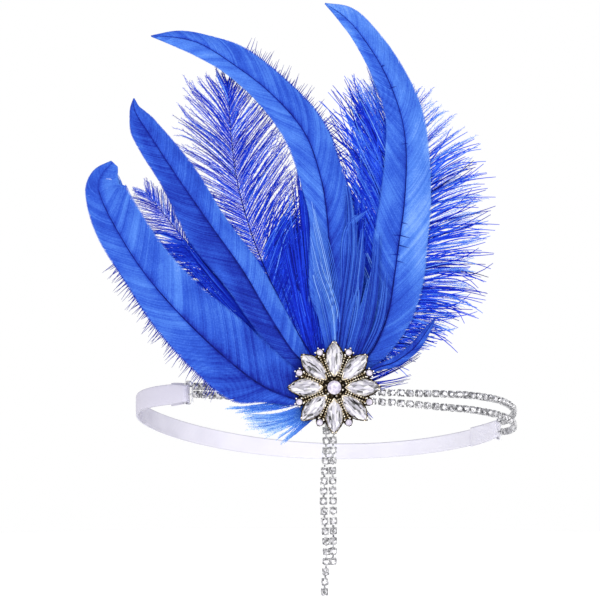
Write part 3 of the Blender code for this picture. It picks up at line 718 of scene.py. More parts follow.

# Brass with painted highlights: its near-white spots stand for light caught on the beads and prongs.
brass_painted_highlights = mottled("brass_with_painted_highlights", {"Metallic": 0.55, "Roughness": 0.35}, 1300.0, (
    (0.35, (0.24, 0.17, 0.08)), (0.5, (0.58, 0.48, 0.31)), (0.65, (1.0, 0.95, 0.84)),
))
# The balls round the small stones are near white, a painted highlight on pale gold.
gold_painted_highlight = mottled("gold_painted_highlight", {"Metallic": 0.7, "Roughness": 0.35}, 1600.0, (
    (0.3, (0.70, 0.66, 0.58)), (0.55, (1.0, 0.98, 0.95)),
))
# Rubbed gold with painted highlights: its near-white spots stand for light caught on the rims and balls.
worn_gold_painted_highlights = mottled("worn_gold_painted_highlights", {"Metallic": 0.6, "Roughness": 0.35}, 420.0, (
    (0.38, (0.05, 0.035, 0.02)), (0.48, (0.30, 0.24, 0.16)), (0.60, (1.0, 0.97, 0.92)),
))
glaze = {"Roughness": 0.3, "Coat Weight": 0.4, "Coat Roughness": 0.1, "Specular IOR Level": 0.4}
pearl = mottled("pearl", glaze, 620.0, (
    (0.35, (0.34, 0.31, 0.40)), (0.5, (0.50, 0.46, 0.56)), (0.65, (0.70, 0.65, 0.70)),
), 3.0)
# Painted reflections: the petal stones' facets run from black through grey and lavender to white.
crystal = stone_finish("crystal_painted_reflections", (
    (0.15, (0.01, 0.01, 0.01)), (0.3, (0.10, 0.10, 0.10)), (0.45, (0.34, 0.33, 0.37)),
    (0.6, (0.54, 0.52, 0.60)), (0.75, (0.68, 0.66, 0.66)), (0.9, (0.88, 0.86, 0.88)),
), 0.06, (0.4, 1.5))
print("brooch finishes ready")

# %% The brooch's axes and outlines
BROOCH = Vector((2.1, -97.5, 15.7))
PETALS, PETAL_RADIUS, PETAL_LENGTH, PETAL_WIDTH = 8, 12.5, 15.0, 7.0
PETAL_TURNS = [360.0 / PETALS * petal for petal in range(PETALS)]
VALLEYS = [turn + 180.0 / PETALS for turn in PETAL_TURNS]


def brooch_frame(angle=0.0, radius=0.0, depth=0.0):
    """X points away from the brooch's centre, and Z out of its face."""
    return Matrix.Translation(BROOCH) @ turned(90.0, "X") @ turned(angle, "Z") @ shift(radius, 0.0, depth)


def navette(length, width, depth, steps=8, turn=0.0):
    """The outline of two equal arcs that meet in points."""
    arc = ((length / 2) ** 2 + (width / 2) ** 2) / width
    widest = math.asin(length / 2 / arc)
    side = []
    for step in range(steps):
        angle = widest * (1.0 - 2 * (step + turn) / steps)
        side.append(Vector((arc * math.sin(angle), arc * math.cos(angle) - arc + width / 2, depth)))
    return side + [Vector((-point.x, -point.y, depth)) for point in side]


# %% [markdown]
# The petal stones are navettes: long cut stones with two pointed ends. The hull of four outlines, from the
# back over the girdle and the crown to the table, gives flat facets much as cutting does. Each stone's
# facets are shifted on the UV map, so that no two stones get the same painted reflections and glints.

# %% Petal stones
petal_stone = mesh_from(cut_stone((
    navette(PETAL_LENGTH * 0.7, PETAL_WIDTH * 0.66, 1.5, 6),
    navette(PETAL_LENGTH, PETAL_WIDTH, 2.5, 10),
    navette(PETAL_LENGTH * 0.8, PETAL_WIDTH * 0.77, 3.5, 5, 0.5),
    navette(PETAL_LENGTH * 0.56, PETAL_WIDTH * 0.44, 4.3, 4),
)), "petal_stone")
for petal, turn in enumerate(PETAL_TURNS):
    bm = bmesh.new()
    add_copy(bm, petal_stone, brooch_frame(turn, PETAL_RADIUS))
    facets = bm.loops.layers.uv["facets"]
    for loop in face_corners(bm):
        loop[facets].uv += Vector((9.7 * petal, 5.3 * petal))
    paint_facet_reflections(bm, 60 + petal, 0.46, 0.05)
    piece(f"crystal_{petal + 1}", bm, crystal, [f"petal_stone_{petal + 1}"], 3.0)

# %% [markdown]
# The setting is one casting: a plate with the flower's outline and a collet round each petal stone. The
# plate is an outline that is filled and extruded. A collet is a wall between four outlines that are
# bridged one after the other, which keeps the pointed ends sharp.

# %% Setting: plate and collets
PLATE_SECTOR = (  # radius, degrees on from a petal's axis
    (20.9, 0), (17.5, 10.4), (16, 14.5), (17.6, 17.5), (18.9, 22.5), (17.6, 27.5), (16, 30.5), (17.5, 34.6),
)
PLATE_THICKNESS = 1.2
COLLET_LOW, COLLET_TOP, COLLET_GAP, COLLET_WALL = 0.6, 2.5, 0.12, 0.5
HUB_RADIUS, HUB_TOP_RADIUS, HUB_HEIGHT, HUB_MIDDLE = 4.2, 3.5, 1.8, 1.5


def outline_edges(bm, points):
    corners = [bm.verts.new(point) for point in points]
    return [bm.edges.new(pair) for pair in zip(corners, corners[1:] + corners[:1])]


def add_wall(bm, place, wall, low, top, slope):
    """A wall round a petal stone: four outlines, bridged one after the other."""
    inner = (PETAL_LENGTH + 3 * COLLET_GAP, PETAL_WIDTH + 2 * COLLET_GAP)
    outer = (inner[0] + 2.4 * wall, inner[1] + 2 * wall)
    shapes = ((outer, low), (outer, top - slope), (inner, top), (inner, low))
    rings = [outline_edges(bm, [place @ p for p in navette(*size, depth, 12)]) for size, depth in shapes]
    for near, far in zip(rings, rings[1:] + rings[:1]):
        bmesh.ops.bridge_loops(bm, edges=near + far)


bm = bmesh.new()
rim = []
for petal_turn in PETAL_TURNS:
    for radius, turn in PLATE_SECTOR:
        angle = math.radians(petal_turn + turn)
        rim.append(brooch_frame() @ Vector((radius * math.cos(angle), radius * math.sin(angle), 0.0)))
outline_edges(bm, rim)
back = bmesh.ops.contextual_create(bm, geom=list(bm.edges))["faces"]
grown = [v for v in bmesh.ops.extrude_face_region(bm, geom=back)["geom"] if isinstance(v, bmesh.types.BMVert)]
bmesh.ops.translate(bm, vec=(0.0, -PLATE_THICKNESS, 0.0), verts=grown)
for turn in PETAL_TURNS:
    add_wall(bm, brooch_frame(turn, PETAL_RADIUS), COLLET_WALL, COLLET_LOW, COLLET_TOP - 0.3, 0.3)
bmesh.ops.create_cone(bm, cap_ends=True, segments=24, radius1=HUB_RADIUS, radius2=HUB_TOP_RADIUS,
                      depth=HUB_HEIGHT, matrix=brooch_frame(depth=HUB_MIDDLE))
bmesh.ops.recalc_face_normals(bm, faces=bm.faces)
piece("cast_setting", bm, brass, ["brooch_setting"], 30.0)

# %% [markdown]
# The patina is rubbed off where the brooch stands out most: on the collets' rims and on the little balls
# round the centre stone, which are pale gold with their shine painted on as highlights. A painted finish
# would blur on so thin a rim, so the worn parts are thin pieces of their own on top of the casting.

# %% Worn rims with painted highlights
RIM_WIDTH = 0.17
CENTRE_BALLS, CENTRE_BALLS_RADIUS, CENTRE_BALLS_HEIGHT, CENTRE_BALL = 12, 3.85, 2.8, 0.46


def add_ball(bm, place, radius):
    bmesh.ops.create_uvsphere(bm, u_segments=8, v_segments=5, radius=radius, matrix=place)


bm = bmesh.new()
for turn in PETAL_TURNS:
    add_wall(bm, brooch_frame(turn, PETAL_RADIUS), RIM_WIDTH, COLLET_TOP - 0.5, COLLET_TOP, 0.1)
bmesh.ops.recalc_face_normals(bm, faces=bm.faces)
for i in range(CENTRE_BALLS):
    seat = brooch_frame(360.0 / CENTRE_BALLS * (i + 0.5), CENTRE_BALLS_RADIUS, CENTRE_BALLS_HEIGHT)
    add_ball(bm, seat, CENTRE_BALL)
piece("worn_rims_painted_highlights", bm, worn_gold_painted_highlights)

# %% [markdown]
# Two twisted wires lie in each valley between the petals. From a little distance a twisted wire reads as
# beads in a row, and a row of small balls is simpler to make than a real twist. A ring of such balls holds
# each small stone.

# %% Twisted wires
WIRE_START, WIRE_END, WIRE_PITCH = 5.6, 14.6, 1.0
WIRE_BEAD, WIRE_GAP, WIRE_SPREAD, WIRE_HEIGHT = 0.38, 0.46, 0.40, 2.65
bm = bmesh.new()
beads = round((WIRE_END - WIRE_START) / WIRE_PITCH)
for valley in VALLEYS:
    for side in (-1.0, 1.0):
        for i in range(beads):
            share = i / (beads - 1)
            reach = WIRE_START + (WIRE_END - WIRE_START) * share
            bead = shift(reach, side * (WIRE_GAP + WIRE_SPREAD * share * share), WIRE_HEIGHT)
            add_ball(bm, brooch_frame(valley) @ bead, WIRE_BEAD)
piece("twisted_wires", bm, brass_painted_highlights, (), 60.0)

# %% Balls round the small stones
ACCENT_RADIUS, ACCENT_BALLS, ACCENT_BALLS_RADIUS, ACCENT_BALLS_HEIGHT, ACCENT_BALL = 16.7, 5, 2.0, 2.4, 0.4
bm = bmesh.new()
for valley in VALLEYS:
    for i in range(ACCENT_BALLS):
        ball = turned(360.0 / ACCENT_BALLS * i, "Z") @ shift(ACCENT_BALLS_RADIUS, 0.0, ACCENT_BALLS_HEIGHT)
        add_ball(bm, brooch_frame(valley, ACCENT_RADIUS) @ ball, ACCENT_BALL)
piece("prong_balls", bm, gold_painted_highlight, (), 60.0)

# %% [markdown]
# Prongs are bent over both ends of a petal stone to hold it. Each is a small block that lies along the
# stone's edge, bevelled so that its edges catch the light.

# %% Prongs
PRONGS = (  # end of the petal, where along its half length, length of the prong
    (-1.0, 0.88, 2.3),
    (1.0, 0.97, 0.8),
)
PRONG_ASIDE, PRONG_HEIGHT, PRONG_TURN, PRONG_SECTION = 0.8, 2.75, 33.0, (0.42, 0.6)
bm = bmesh.new()
for petal_turn in PETAL_TURNS:
    for end, share, length in PRONGS:
        for side in (-1.0, 1.0):
            tip = shift(end * PETAL_LENGTH / 2 * share, side * PRONG_ASIDE, PRONG_HEIGHT)
            seat = brooch_frame(petal_turn, PETAL_RADIUS) @ tip @ turned(-end * side * PRONG_TURN, "Z")
            add_block(bm, seat, (length, *PRONG_SECTION))
bmesh.ops.bevel(bm, geom=list(bm.edges), offset=0.12, segments=2, profile=0.5, affect="EDGES", material=-1)
piece("petal_prongs", bm, brass_painted_highlights)

# %% [markdown]
# The centre stone and the small stones between the petals are cabochons, which are smooth domes without
# facets. A quarter outline spun round the stone's axis gives a dome.

# %% Pearly stones
CENTRE_STONE = (3.1, 2.3, 4.3)  # radius, height of the edge, height of the top
ACCENT_STONE = (1.4, 1.9, 3.5)


def dome(name, place, radius, low, top, node):
    """A cabochon: a quarter outline spun round."""
    bm = bmesh.new()
    corners = [bm.verts.new(place @ Vector((radius, 0.0, low)))]
    for step in range(9):
        turn = math.pi / 2 * step / 8
        height = low + (top - low) * (0.25 + 0.75 * math.sin(turn))
        corners.append(bm.verts.new(place @ Vector((radius * math.cos(turn), 0.0, height))))
    edges = [bm.edges.new(pair) for pair in zip(corners, corners[1:])]
    bmesh.ops.spin(bm, geom=corners + edges, cent=place.translation, angle=2 * math.pi, steps=24,
                   axis=place.to_3x3() @ Vector((0.0, 0.0, 1.0)), use_merge=True)
    bmesh.ops.remove_doubles(bm, verts=bm.verts, dist=0.005)
    bmesh.ops.holes_fill(bm, edges=bm.edges)
    bmesh.ops.recalc_face_normals(bm, faces=bm.faces)
    piece(name, bm, pearl, [node], 60.0)


dome("cabochon", brooch_frame(), *CENTRE_STONE, "centre_stone")
for petal, valley in enumerate(VALLEYS):
    seat = brooch_frame(valley, ACCENT_RADIUS)
    dome(f"small_cabochon_{petal + 1}", seat, *ACCENT_STONE, f"accent_stone_{petal + 1}")

# %% [markdown]
# ## Feathers: how a vane is built
# A vane is hundreds of barbs that leave the shaft at a slant and hook into each other. Where hooks let
# go, the vane splits. A smooth sheet with a texture has none of that at its edge. So each barb here is a
# narrow ribbon: one grid is cut apart along its columns, and every column is laid along a barb's route.

# %% Ribbons from a cut grid
def ribbons(routes, front=Vector((0.0, -1.0, 0.0))):
    """Flat ribbons. A route is a list of (place, width, tone), and all routes have the same length."""
    count, cells = len(routes), len(routes[0]) - 1
    bm = bmesh.new()
    bmesh.ops.create_grid(bm, x_segments=count, y_segments=cells, size=0.5)
    inner = [e for e in bm.edges if len(e.link_faces) == 2]
    seams = [e for e in inner if abs(e.verts[0].co.x - e.verts[1].co.x) < 0.1 / count]
    bmesh.ops.split_edges(bm, edges=seams)
    tone = bm.verts.layers.float.new("tone")
    uv = bm.loops.layers.uv.new("barb")
    corners = {}
    for face in bm.faces:
        middle = face.calc_center_median()
        column = int((middle.x + 0.5) * count)
        for loop in face.loops:
            side = 1.0 if loop.vert.co.x > middle.x else -1.0
            row = round((loop.vert.co.y + 0.5) * cells)
            corners[loop.vert] = (column, side, row)
            loop[uv].uv = (column + side * 0.5, row / cells)
    for vert, (column, side, row) in corners.items():
        route = routes[column]
        place, width, shade = route[row]
        tangent = route[min(row + 1, cells)][0] - route[max(row - 1, 0)][0]
        across = tangent.cross(front).normalized()
        vert.co = place + across * (side * width / 2) + front * (side * width * 0.05)
        vert[tone] = shade
    return bm


def barb_piece(name, routes, finish, replaces=()):
    piece(name, ribbons(routes), finish, replaces, 60.0)


# %% [markdown]
# The feathers are described by a few rows each, nearly the same as in the CAD model: the shaft's place
# and how far the vane reaches to each side. A shaft object turns those rows into a smooth curve that can
# be asked for any share of its length.

# %% Shafts
BOW, BOW_AT = 10.0, 170.0


def lay(spot, layer, lift):
    """A place in one of the parallel layers that bow back away from the brooch."""
    away = math.hypot(spot.x - BROOCH.x, spot.z - BROOCH.z)
    return Vector((spot.x, layer + BOW * (away / BOW_AT) ** 2 - lift, spot.z))


class Shaft:
    """A smooth curve through rows that start with x and z, at shares of its length from 0 to 1."""

    STEPS = 240

    def __init__(self, rows):
        runs = [0.0]
        for near, far in zip(rows, rows[1:]):
            runs.append(runs[-1] + math.hypot(far[0] - near[0], far[1] - near[1]))
        self.length = runs[-1]
        table = [(run / self.length, *row) for run, row in zip(runs, rows)]
        self.samples = [smooth_row(table, step / self.STEPS) for step in range(self.STEPS + 1)]

    def at(self, share):
        """Place, direction, direction to the left, and the other columns."""
        spot = min(max(share, 0.0), 1.0) * self.STEPS
        i = min(int(spot), self.STEPS - 1)
        t = spot - i
        row = [a + (b - a) * t for a, b in zip(self.samples[i], self.samples[i + 1])]
        before, after = self.samples[max(i - 1, 0)], self.samples[min(i + 2, self.STEPS)]
        along = Vector((after[0] - before[0], 0.0, after[1] - before[1])).normalized()
        return Vector((row[0], 0.0, row[1])), along, Vector((-along.z, 0.0, along.x)), row[2:]


# %% Feather tables
FRONT_LAYER, MIDDLE_LAYER, BACK_LAYER, REAR_LAYER = -96.55, -95.15, -93.65, -90.5
# A row of tones is the share of the shaft's length, then the tones of the left and the right vane.
# The tones are lower near the root, which is painted shade, and differ between a feather's two vanes, which
# is painted light and shade on halves that face the light differently.
FEATHERS = {  # name: (layer, curl of the tip, lean of the barbs, share with a dark shaft, tones, shape)
    "feather_left": (FRONT_LAYER, 3, 1.3, 0.9, (
        (0, 0.26, 0.22), (0.2, 0.4, 0.38), (0.45, 0.54, 0.52), (0.7, 0.57, 0.55), (0.9, 0.48, 0.50),
        (1, 0.46, 0.56),
    ), (  # x, z, left reach, right reach
        (-8, 8.5, 1, 6), (-17, 11, 3.5, 12), (-26.3, 14.6, 6.5, 15), (-35.2, 20, 13.5, 16.5),
        (-51.4, 33.5, 14, 17.5), (-68.5, 50.4, 12.5, 15.5), (-83.1, 67.8, 9.6, 14.3),
        (-95.1, 87, 9.3, 13.5), (-102, 102, 6.5, 12.6), (-101.3, 109, 4.5, 11.8),
        (-96, 115.3, 1, 3.2),
    )),
    "feather_inner": (MIDDLE_LAYER, 4, 1.3, 1, (
        (0, 0.16, 0.22), (0.2, 0.24, 0.46), (0.45, 0.28, 0.56), (0.7, 0.36, 0.46), (1, 0.38, 0.46),
    ), (
        (3.4, 12.4, 0.8, 0.8), (-4.5, 18.5, 1, 1), (-10.5, 25.5, 3.5, 3.5), (-16.7, 32, 7.5, 6),
        (-27.6, 49, 9, 7.6), (-38.7, 67.8, 10.7, 8), (-52.3, 86.9, 12, 7.6), (-67.4, 108.7, 8.3, 9),
        (-82.2, 131.2, 6.9, 5.8), (-86.4, 138.4, 2.4, 3.2), (-86.7, 143.6, 0.3, 0.3),
    )),
    "feather_curled": (FRONT_LAYER, 6, 2, 1, (
        (0, 0.28, 0.25), (0.2, 0.52, 0.4), (0.5, 0.6, 0.48), (0.75, 0.64, 0.5), (1, 0.58, 0.48),
    ), (
        (2.2, 12, 0.8, 0.8), (2.8, 23, 1, 1), (3.6, 32, 2.5, 3.5), (4, 40, 5.5, 7),
        (1.9, 56.5, 10.5, 9.5), (0.2, 73.3, 9.3, 11), (-0.9, 90.2, 8, 12), (-3.7, 107.9, 9.5, 10.5),
        (-11, 128.3, 9.5, 10.3), (-26.2, 146, 7.2, 9.5), (-43.3, 159.2, 5.5, 9.2),
        (-57.2, 167.8, 6, 4.8), (-67.6, 170.5, 4.3, 3.3), (-79, 171.2, 0.3, 0.3),
    )),
    "feather_tall": (MIDDLE_LAYER, 5, 1.6, 1, (
        (0, 0.3, 0.3), (0.2, 0.42, 0.46), (0.4, 0.5, 0.74), (0.6, 0.52, 0.7), (0.8, 0.52, 0.62),
        (1, 0.7, 0.76),
    ), (
        (5, 14.5, 0.8, 0.8), (9, 20, 1, 1), (15, 27, 3.5, 4.5), (20.3, 34, 6, 7),
        (26, 48.3, 9.5, 11), (28.6, 63.8, 10.5, 13.5), (30.5, 77.5, 11.5, 13), (33.3, 98.5, 11, 12),
        (34, 121.3, 9.3, 10.3), (31.4, 137.6, 7, 10), (24.2, 155.9, 6, 8.5), (14, 171.9, 4.3, 7),
        (6.7, 179.9, 3.2, 5.5), (-1.9, 185.9, 0.3, 0.3),
    )),
    "feather_side": (FRONT_LAYER, 2, 2, 1, (
        (0, 0.3, 0.35), (1, 0.36, 0.42),
    ), (
        (11.6, 18.5, 0.8, 0.8), (20.5, 24, 1.5, 1.5), (28.8, 26.9, 2.2, 2.2), (37.3, 33, 2.4, 2.4),
        (42.9, 40.4, 1.6, 1.6), (46.7, 46.3, 0.3, 0.3),
    )),
}

# %% [markdown]
# The barbs are dyed blue, and each barb keeps a tone that says how pale it is. Darker tones where barbs
# overlap at the shaft and near the root are painted shade, and paler tones on the silky outer parts are a
# painted highlight. The finish turns the tone into blue. Fine streaks follow the barbs through the UV map,
# which counts barbs across and runs along each of them.

# %% Feather finishes
MATT = {"Roughness": 0.8, "Specular IOR Level": 0.06}


def dye_and_painted_light_finish(name, stops, ripples=()):
    """Dyed barbs, whose tone also carries painted shade and highlights. A ripple is (centre in metres,
    spacing in metres, radius in metres, strength).
    """
    made = Finish(name, MATT)
    threads = made.noise(made.place((3.0, 9.0, 1.0), "UV"), 1.0, 3.0)
    mottle = made.noise(made.place(), 130.0, 3.0)
    grain = made.noise(made.place(), 1700.0, 2.0)
    tone = made.tone() + (threads - 0.5) * 0.20 + (mottle - 0.5) * 0.22 + (grain - 0.5) * 0.30
    for centre, spacing, radius, strength in ripples:
        away = made.node("VectorMath", {"operation": "DISTANCE"}, {0: made.place(), 1: centre}, 1)
        near = made.node("MapRange", inputs={"Value": away, "From Min": radius, "From Max": radius * 0.4})
        tone = tone + (away * (2 * math.pi / spacing)).wave() * near * strength
    made.feed("Base Color", made.ramp(tone, stops))
    made.bump(threads, 0.00008, 0.5)
    return made


vane_finish = dye_and_painted_light_finish("vane_dye_and_painted_light", (
    (0.0, (0.002, 0.005, 0.10)), (0.25, (0.007, 0.019, 0.26)), (0.5, (0.021, 0.072, 0.44)),
    (0.75, (0.062, 0.17, 0.57)), (1.0, (0.18, 0.32, 0.68)),
), (((-0.050, -0.097, 0.012), 0.0021, 0.030, 0.035), ((0.016, -0.093, 0.146), 0.0022, 0.021, 0.05)))
plume_finish = dye_and_painted_light_finish("plume_dye_and_painted_light", (
    (0.0, (0.001, 0.003, 0.09)), (0.3, (0.003, 0.012, 0.36)), (0.55, (0.009, 0.042, 0.54)),
    (0.8, (0.045, 0.14, 0.64)), (1.0, (0.16, 0.33, 0.74)),
))
down_finish = dye_and_painted_light_finish("down_dye_and_painted_light", (
    (0.0, (0.006, 0.03, 0.38)), (0.4, (0.026, 0.11, 0.56)), (0.7, (0.10, 0.27, 0.68)),
    (1.0, (0.38, 0.55, 0.80)),
))
shaft_finish = mottled("dyed_shaft", MATT, 260.0, ((0.3, (0.002, 0.004, 0.08)), (0.7, (0.005, 0.012, 0.20))))
print("feather finishes ready")

# %% [markdown]
# ## The broad feathers
# A barb leaves the shaft, slants towards the tip and ends at the vane's edge. Barbs go in small groups
# that draw together a little towards their ends, so that fine notches open between the groups.

# %% Groups and ends of barbs
def groups(count, chance, smallest, largest):
    """For each barb, the middle of its group and whether it is the group's last one."""
    found, start = [], 0
    while start < count:
        size = chance.randint(smallest, largest)
        found += [(start + size / 2, i == size - 1) for i in range(size)]
        start += size
    return found[:count]


def barb_end(root, reach, length, lean):
    """A barb ends further along than it starts, but never past the tip, and the lowest barbs lean less."""
    left = 1.0 - root
    lean *= min(1.0, 0.1 + root / 0.12)
    return root + left * (1.0 - math.exp(-lean * reach / length / max(left, 0.01)))


# %% Vanes
BARB_PITCH, BARB_CELLS, BARB_OVERLAP, WIDEST_BARB = 0.38, 8, 1.3, 1.0
SMALLEST_GROUP, LARGEST_GROUP, GROUP_PULL = 9, 44, 0.02
VANE_LIFT, VANE_ARCH, EDGE_DROP = 0.35, 1.1, 0.5
# Painted shade next to the shaft and a painted highlight towards the vane's edge.
ROOT_SHADE, ROOT_SHADE_REACH, EDGE_PAINTED_HIGHLIGHT = 0.20, 0.06, 0.07
TONE_SPREAD, TONE_DRIFT, SOFT_PATCHES = 0.045, 0.13, 0.16


def vane_routes(shaft, layer, curl, side, lean, tones, chance):
    count = round(shaft.length / BARB_PITCH)
    grouped = groups(count, chance, SMALLEST_GROUP, LARGEST_GROUP)
    column = 0 if side > 0 else 1
    lines = []
    for i, (middle, _) in enumerate(grouped):
        root = (i + 0.5) / count
        end = barb_end(root, shaft.at(root)[3][column], shaft.length, lean)
        cut = 1.0 - 0.02 * chance.random()
        line = []
        for j in range(BARB_CELLS + 1):
            u = j / BARB_CELLS * cut
            share = root + (end - root) * u**1.2 + (middle - i) / count * GROUP_PULL * u**4
            spot, _, to_left, reaches = shaft.at(share)
            spot = spot + to_left * (side * reaches[column] * u)
            lift = curl * min(share, 1.0) ** 4 + VANE_LIFT + VANE_ARCH * (u - u * u) - EDGE_DROP * u * u
            line.append([lay(spot, layer, lift), u, share])
        lines.append(line)
    routes = []
    for i, line in enumerate(lines):
        other = i - 1 if grouped[i][1] or i + 1 == count else i + 1
        drift = noise.noise(Vector((i * 0.11, side * 7.0, layer)))
        own = chance.gauss(0.0, TONE_SPREAD) + TONE_DRIFT * drift
        route = []
        for j, (place, u, share) in enumerate(line):
            tangent = (line[min(j + 1, BARB_CELLS)][0] - line[max(j - 1, 0)][0]).normalized()
            width = min(BARB_OVERLAP * tangent.cross(lines[other][j][0] - place).length + 0.05, WIDEST_BARB)
            taper = min(1.0, 0.3 + (1.0 - j / BARB_CELLS) * 7.0)
            soft = SOFT_PATCHES * noise.noise(Vector((share * 9.0, u * 2.0, layer + side)))
            shade = smooth_row(tones, min(share, 1.0))[column] + own + soft
            # Painted highlight towards the vane's edge and painted shade next to the shaft.
            shade += EDGE_PAINTED_HIGHLIGHT * u - ROOT_SHADE * math.exp(-u / ROOT_SHADE_REACH)
            route.append((place, width * taper, shade))
        routes.append(route)
    return routes


# %% The dark shaft
SHAFT_CELLS, SHAFT_LIFT, HIDDEN_SHAFT_LIFT = 60, 0.3, -0.1


def add_shaft(name, shaft, layer, curl, thick, thin, shown=1.0):
    """A tapering round curve on the front of its vane. Past the shown share it lies just behind it."""
    route = []
    for i in range(SHAFT_CELLS + 1):
        share = i / SHAFT_CELLS
        lift = curl * share**4 + (SHAFT_LIFT if share <= shown else HIDDEN_SHAFT_LIFT)
        route.append((lay(shaft.at(share)[0], layer, lift), thick + (thin - thick) * share))
    round_wire(name, route, 2, shaft_finish)


# %% The five feathers
SHAFT_THICK, SHAFT_THIN = 0.42, 0.14

shafts = {}
for seed, (name, (layer, curl, lean, shown, tones, rows)) in enumerate(FEATHERS.items()):
    chance = random.Random(100 + seed)
    which = name.split("_")[1]
    shaft = shafts[name] = Shaft(rows)
    routes = vane_routes(shaft, layer, curl, 1.0, lean, tones, chance)
    routes += vane_routes(shaft, layer, curl, -1.0, lean, tones, chance)
    barb_piece("vane_" + which, routes, vane_finish, [name])
    add_shaft("shaft_" + which, shaft, layer, curl, SHAFT_THICK, SHAFT_THIN, shown)

# %% [markdown]
# ## The airy plumes
# A plume's barbs have no hooks. They are long and loose, curve outwards and cling together in pointed
# tufts, and each carries a fringe of much finer hairs. So the same ribbons are used, but narrow and far
# apart, and pulled towards the leading barb of their tuft. Near the root shorter and broader fluff fills
# the gaps between the feathers, and its deepest blue there is painted shade.

# %% Plume tables
# Pull and fluff are given for the left and the right, and the fluff's third value is where it ends.
# A barb's look is its width, its tone and the change of tone at its tip.
PLUMES = {  # name: (layer, barbs on each side, pull, fluff, look of the barbs, rows)
    "plume_centre": (BACK_LAYER, 340, (0.9, 0.12), (1, 1.8, 0.44), (0.46, 0.46, 0), (
        (-2, 12, 5, 25, 8, 40),  # x, z, left reach and angle, right reach and angle
        (-6, 26, 8, 32, 20, 46), (-17.5, 45.5, 11, 40, 29, 52), (-26.4, 63.3, 15, 48, 35, 52),
        (-34.9, 84.9, 26, 54, 38, 50), (-40.9, 107, 37, 44, 34, 46), (-43.9, 130, 32, 32, 24, 38),
        (-44.6, 143, 18, 18, 13, 28), (-45.4, 152, 6, 10, 5, 15),
    )),
    "plume_small": (REAR_LAYER, 240, (0.35, 0.3), (1, 1, 0.74), (0.40, 0.52, -0.02), (
        (-8, 18.5, 3, 30, 3, 30), (-22, 32, 6, 30, 6, 30), (-36, 48, 15, 38, 12, 35),
        (-55, 70, 20, 42, 15, 40), (-70, 88, 19, 40, 14, 38), (-82, 103, 7, 25, 7, 25),
    )),
    "plume_right": (BACK_LAYER, 300, (0.6, 0.85), (2.2, 0.8, 0.72), (0.44, 0.56, 0.40), (
        (5, 12, 8, 40, 6, 50), (12, 26, 24, 46, 16, 62), (19, 40, 32, 46, 33, 70),
        (25, 55, 46, 42, 42, 72), (30, 74, 56, 36, 44, 62), (33, 94, 60, 29, 42, 56),
        (33, 114, 45, 25, 34, 50), (30.5, 134, 24, 18, 20, 42), (27, 147, 8, 18, 9, 28),
    )),
}

# %% One loose barb
PLUME_CELLS, SWAY = 10, 16.0


def free_line(shaft, root, side, chance, loose):
    """One barb that curves outwards from the shaft and sways a little."""
    spot, along, to_left, (left, left_angle, right, right_angle) = shaft.at(root)
    reach = (left if side > 0 else right) * chance.uniform(0.8, 1.06)
    angle = math.radians((left_angle if side > 0 else right_angle) + chance.gauss(0.0, loose))
    sway = math.radians(chance.gauss(0.0, SWAY))
    line = [spot]
    for j in range(PLUME_CELLS):
        u = (j + 0.5) / PLUME_CELLS
        turn = angle * (0.85 + 0.3 * u) + sway * math.sin(1.5 * math.pi * u) * u
        spot = spot + (along * math.cos(turn) + to_left * (side * math.sin(turn))) * (reach / PLUME_CELLS)
        line.append(spot)
    return line


def lay_line(line, layer, chance, deepest=0.4):
    """The line in its layer, with its end up to that far behind it."""
    depth = chance.uniform(-deepest, 0.4)
    return [lay(spot, layer, 0.3 + depth * (j / PLUME_CELLS) ** 1.5) for j, spot in enumerate(line)]


# %% [markdown]
# A group of barbs is drawn towards the barb in its middle, more and more towards the tips, which gives
# pointed tufts. The fluff near the root is left loose.

# %% Tufts and fluff
SMALLEST_TUFT, LARGEST_TUFT, LOOSE_SHARE, DEEPEST_TIP = 4, 12, 0.25, 3.5
PLUME_LOOSENESS, FLUFF_LOOSENESS = 2.5, 9.0  # degrees


def plume_lines(shaft, layer, count, side, pull, chance):
    """The routes of the barbs on one side, drawn together into tufts."""
    roots = [((i + chance.random()) / count) ** 1.25 * 0.99 for i in range(count)]
    free = [free_line(shaft, root, side, chance, PLUME_LOOSENESS) for root in roots]
    lines = []
    for i, (middle, _) in enumerate(groups(count, chance, SMALLEST_TUFT, LARGEST_TUFT)):
        lead = free[min(int(middle), count - 1)]
        least, most = (0.0, 0.5) if chance.random() < LOOSE_SHARE else (0.6, 1.1)
        drawn = pull * chance.uniform(least, most)
        shorter = 1.0 - pull * 0.05 * abs(i - middle)
        line = []
        for j in range(PLUME_CELLS + 1):
            u = j / PLUME_CELLS * shorter
            cell = min(int(u * PLUME_CELLS), PLUME_CELLS - 1)
            along = u * PLUME_CELLS - cell
            own = free[i][cell].lerp(free[i][cell + 1], along)
            line.append(own.lerp(lead[cell].lerp(lead[cell + 1], along), drawn * u**1.4))
        lines.append(lay_line(line, layer, chance, DEEPEST_TIP))
    return lines


def fluff_lines(shaft, layer, count, side, end, chance):
    roots = [end * chance.random() ** 1.6 for _ in range(count)]
    return [lay_line(free_line(shaft, root, side, chance, FLUFF_LOOSENESS), layer, chance) for root in roots]


# %% [markdown]
# Each barb becomes a narrow ribbon. Its hairs are ribbons with a single face, because there are thousands
# of them. A wisp is a loose bundle of barbs from one root towards one place, and fills what lies between
# the feathers.

# %% Barbs, hairs and wisps
def barb_routes(lines, thick, thin, tone, tip, chance):
    """Ribbons for barbs that start narrow and whose tone changes by tip towards their ends."""
    routes = []
    for line in lines:
        shade = tone + chance.gauss(0.0, 0.17)
        route = []
        for j, spot in enumerate(line):
            u = j / PLUME_CELLS
            width = (thick + (thin - thick) * u) * min(1.0, 0.5 + 2.0 * u)
            route.append((spot, width, shade + tip * u * u))
        routes.append(route)
    return routes


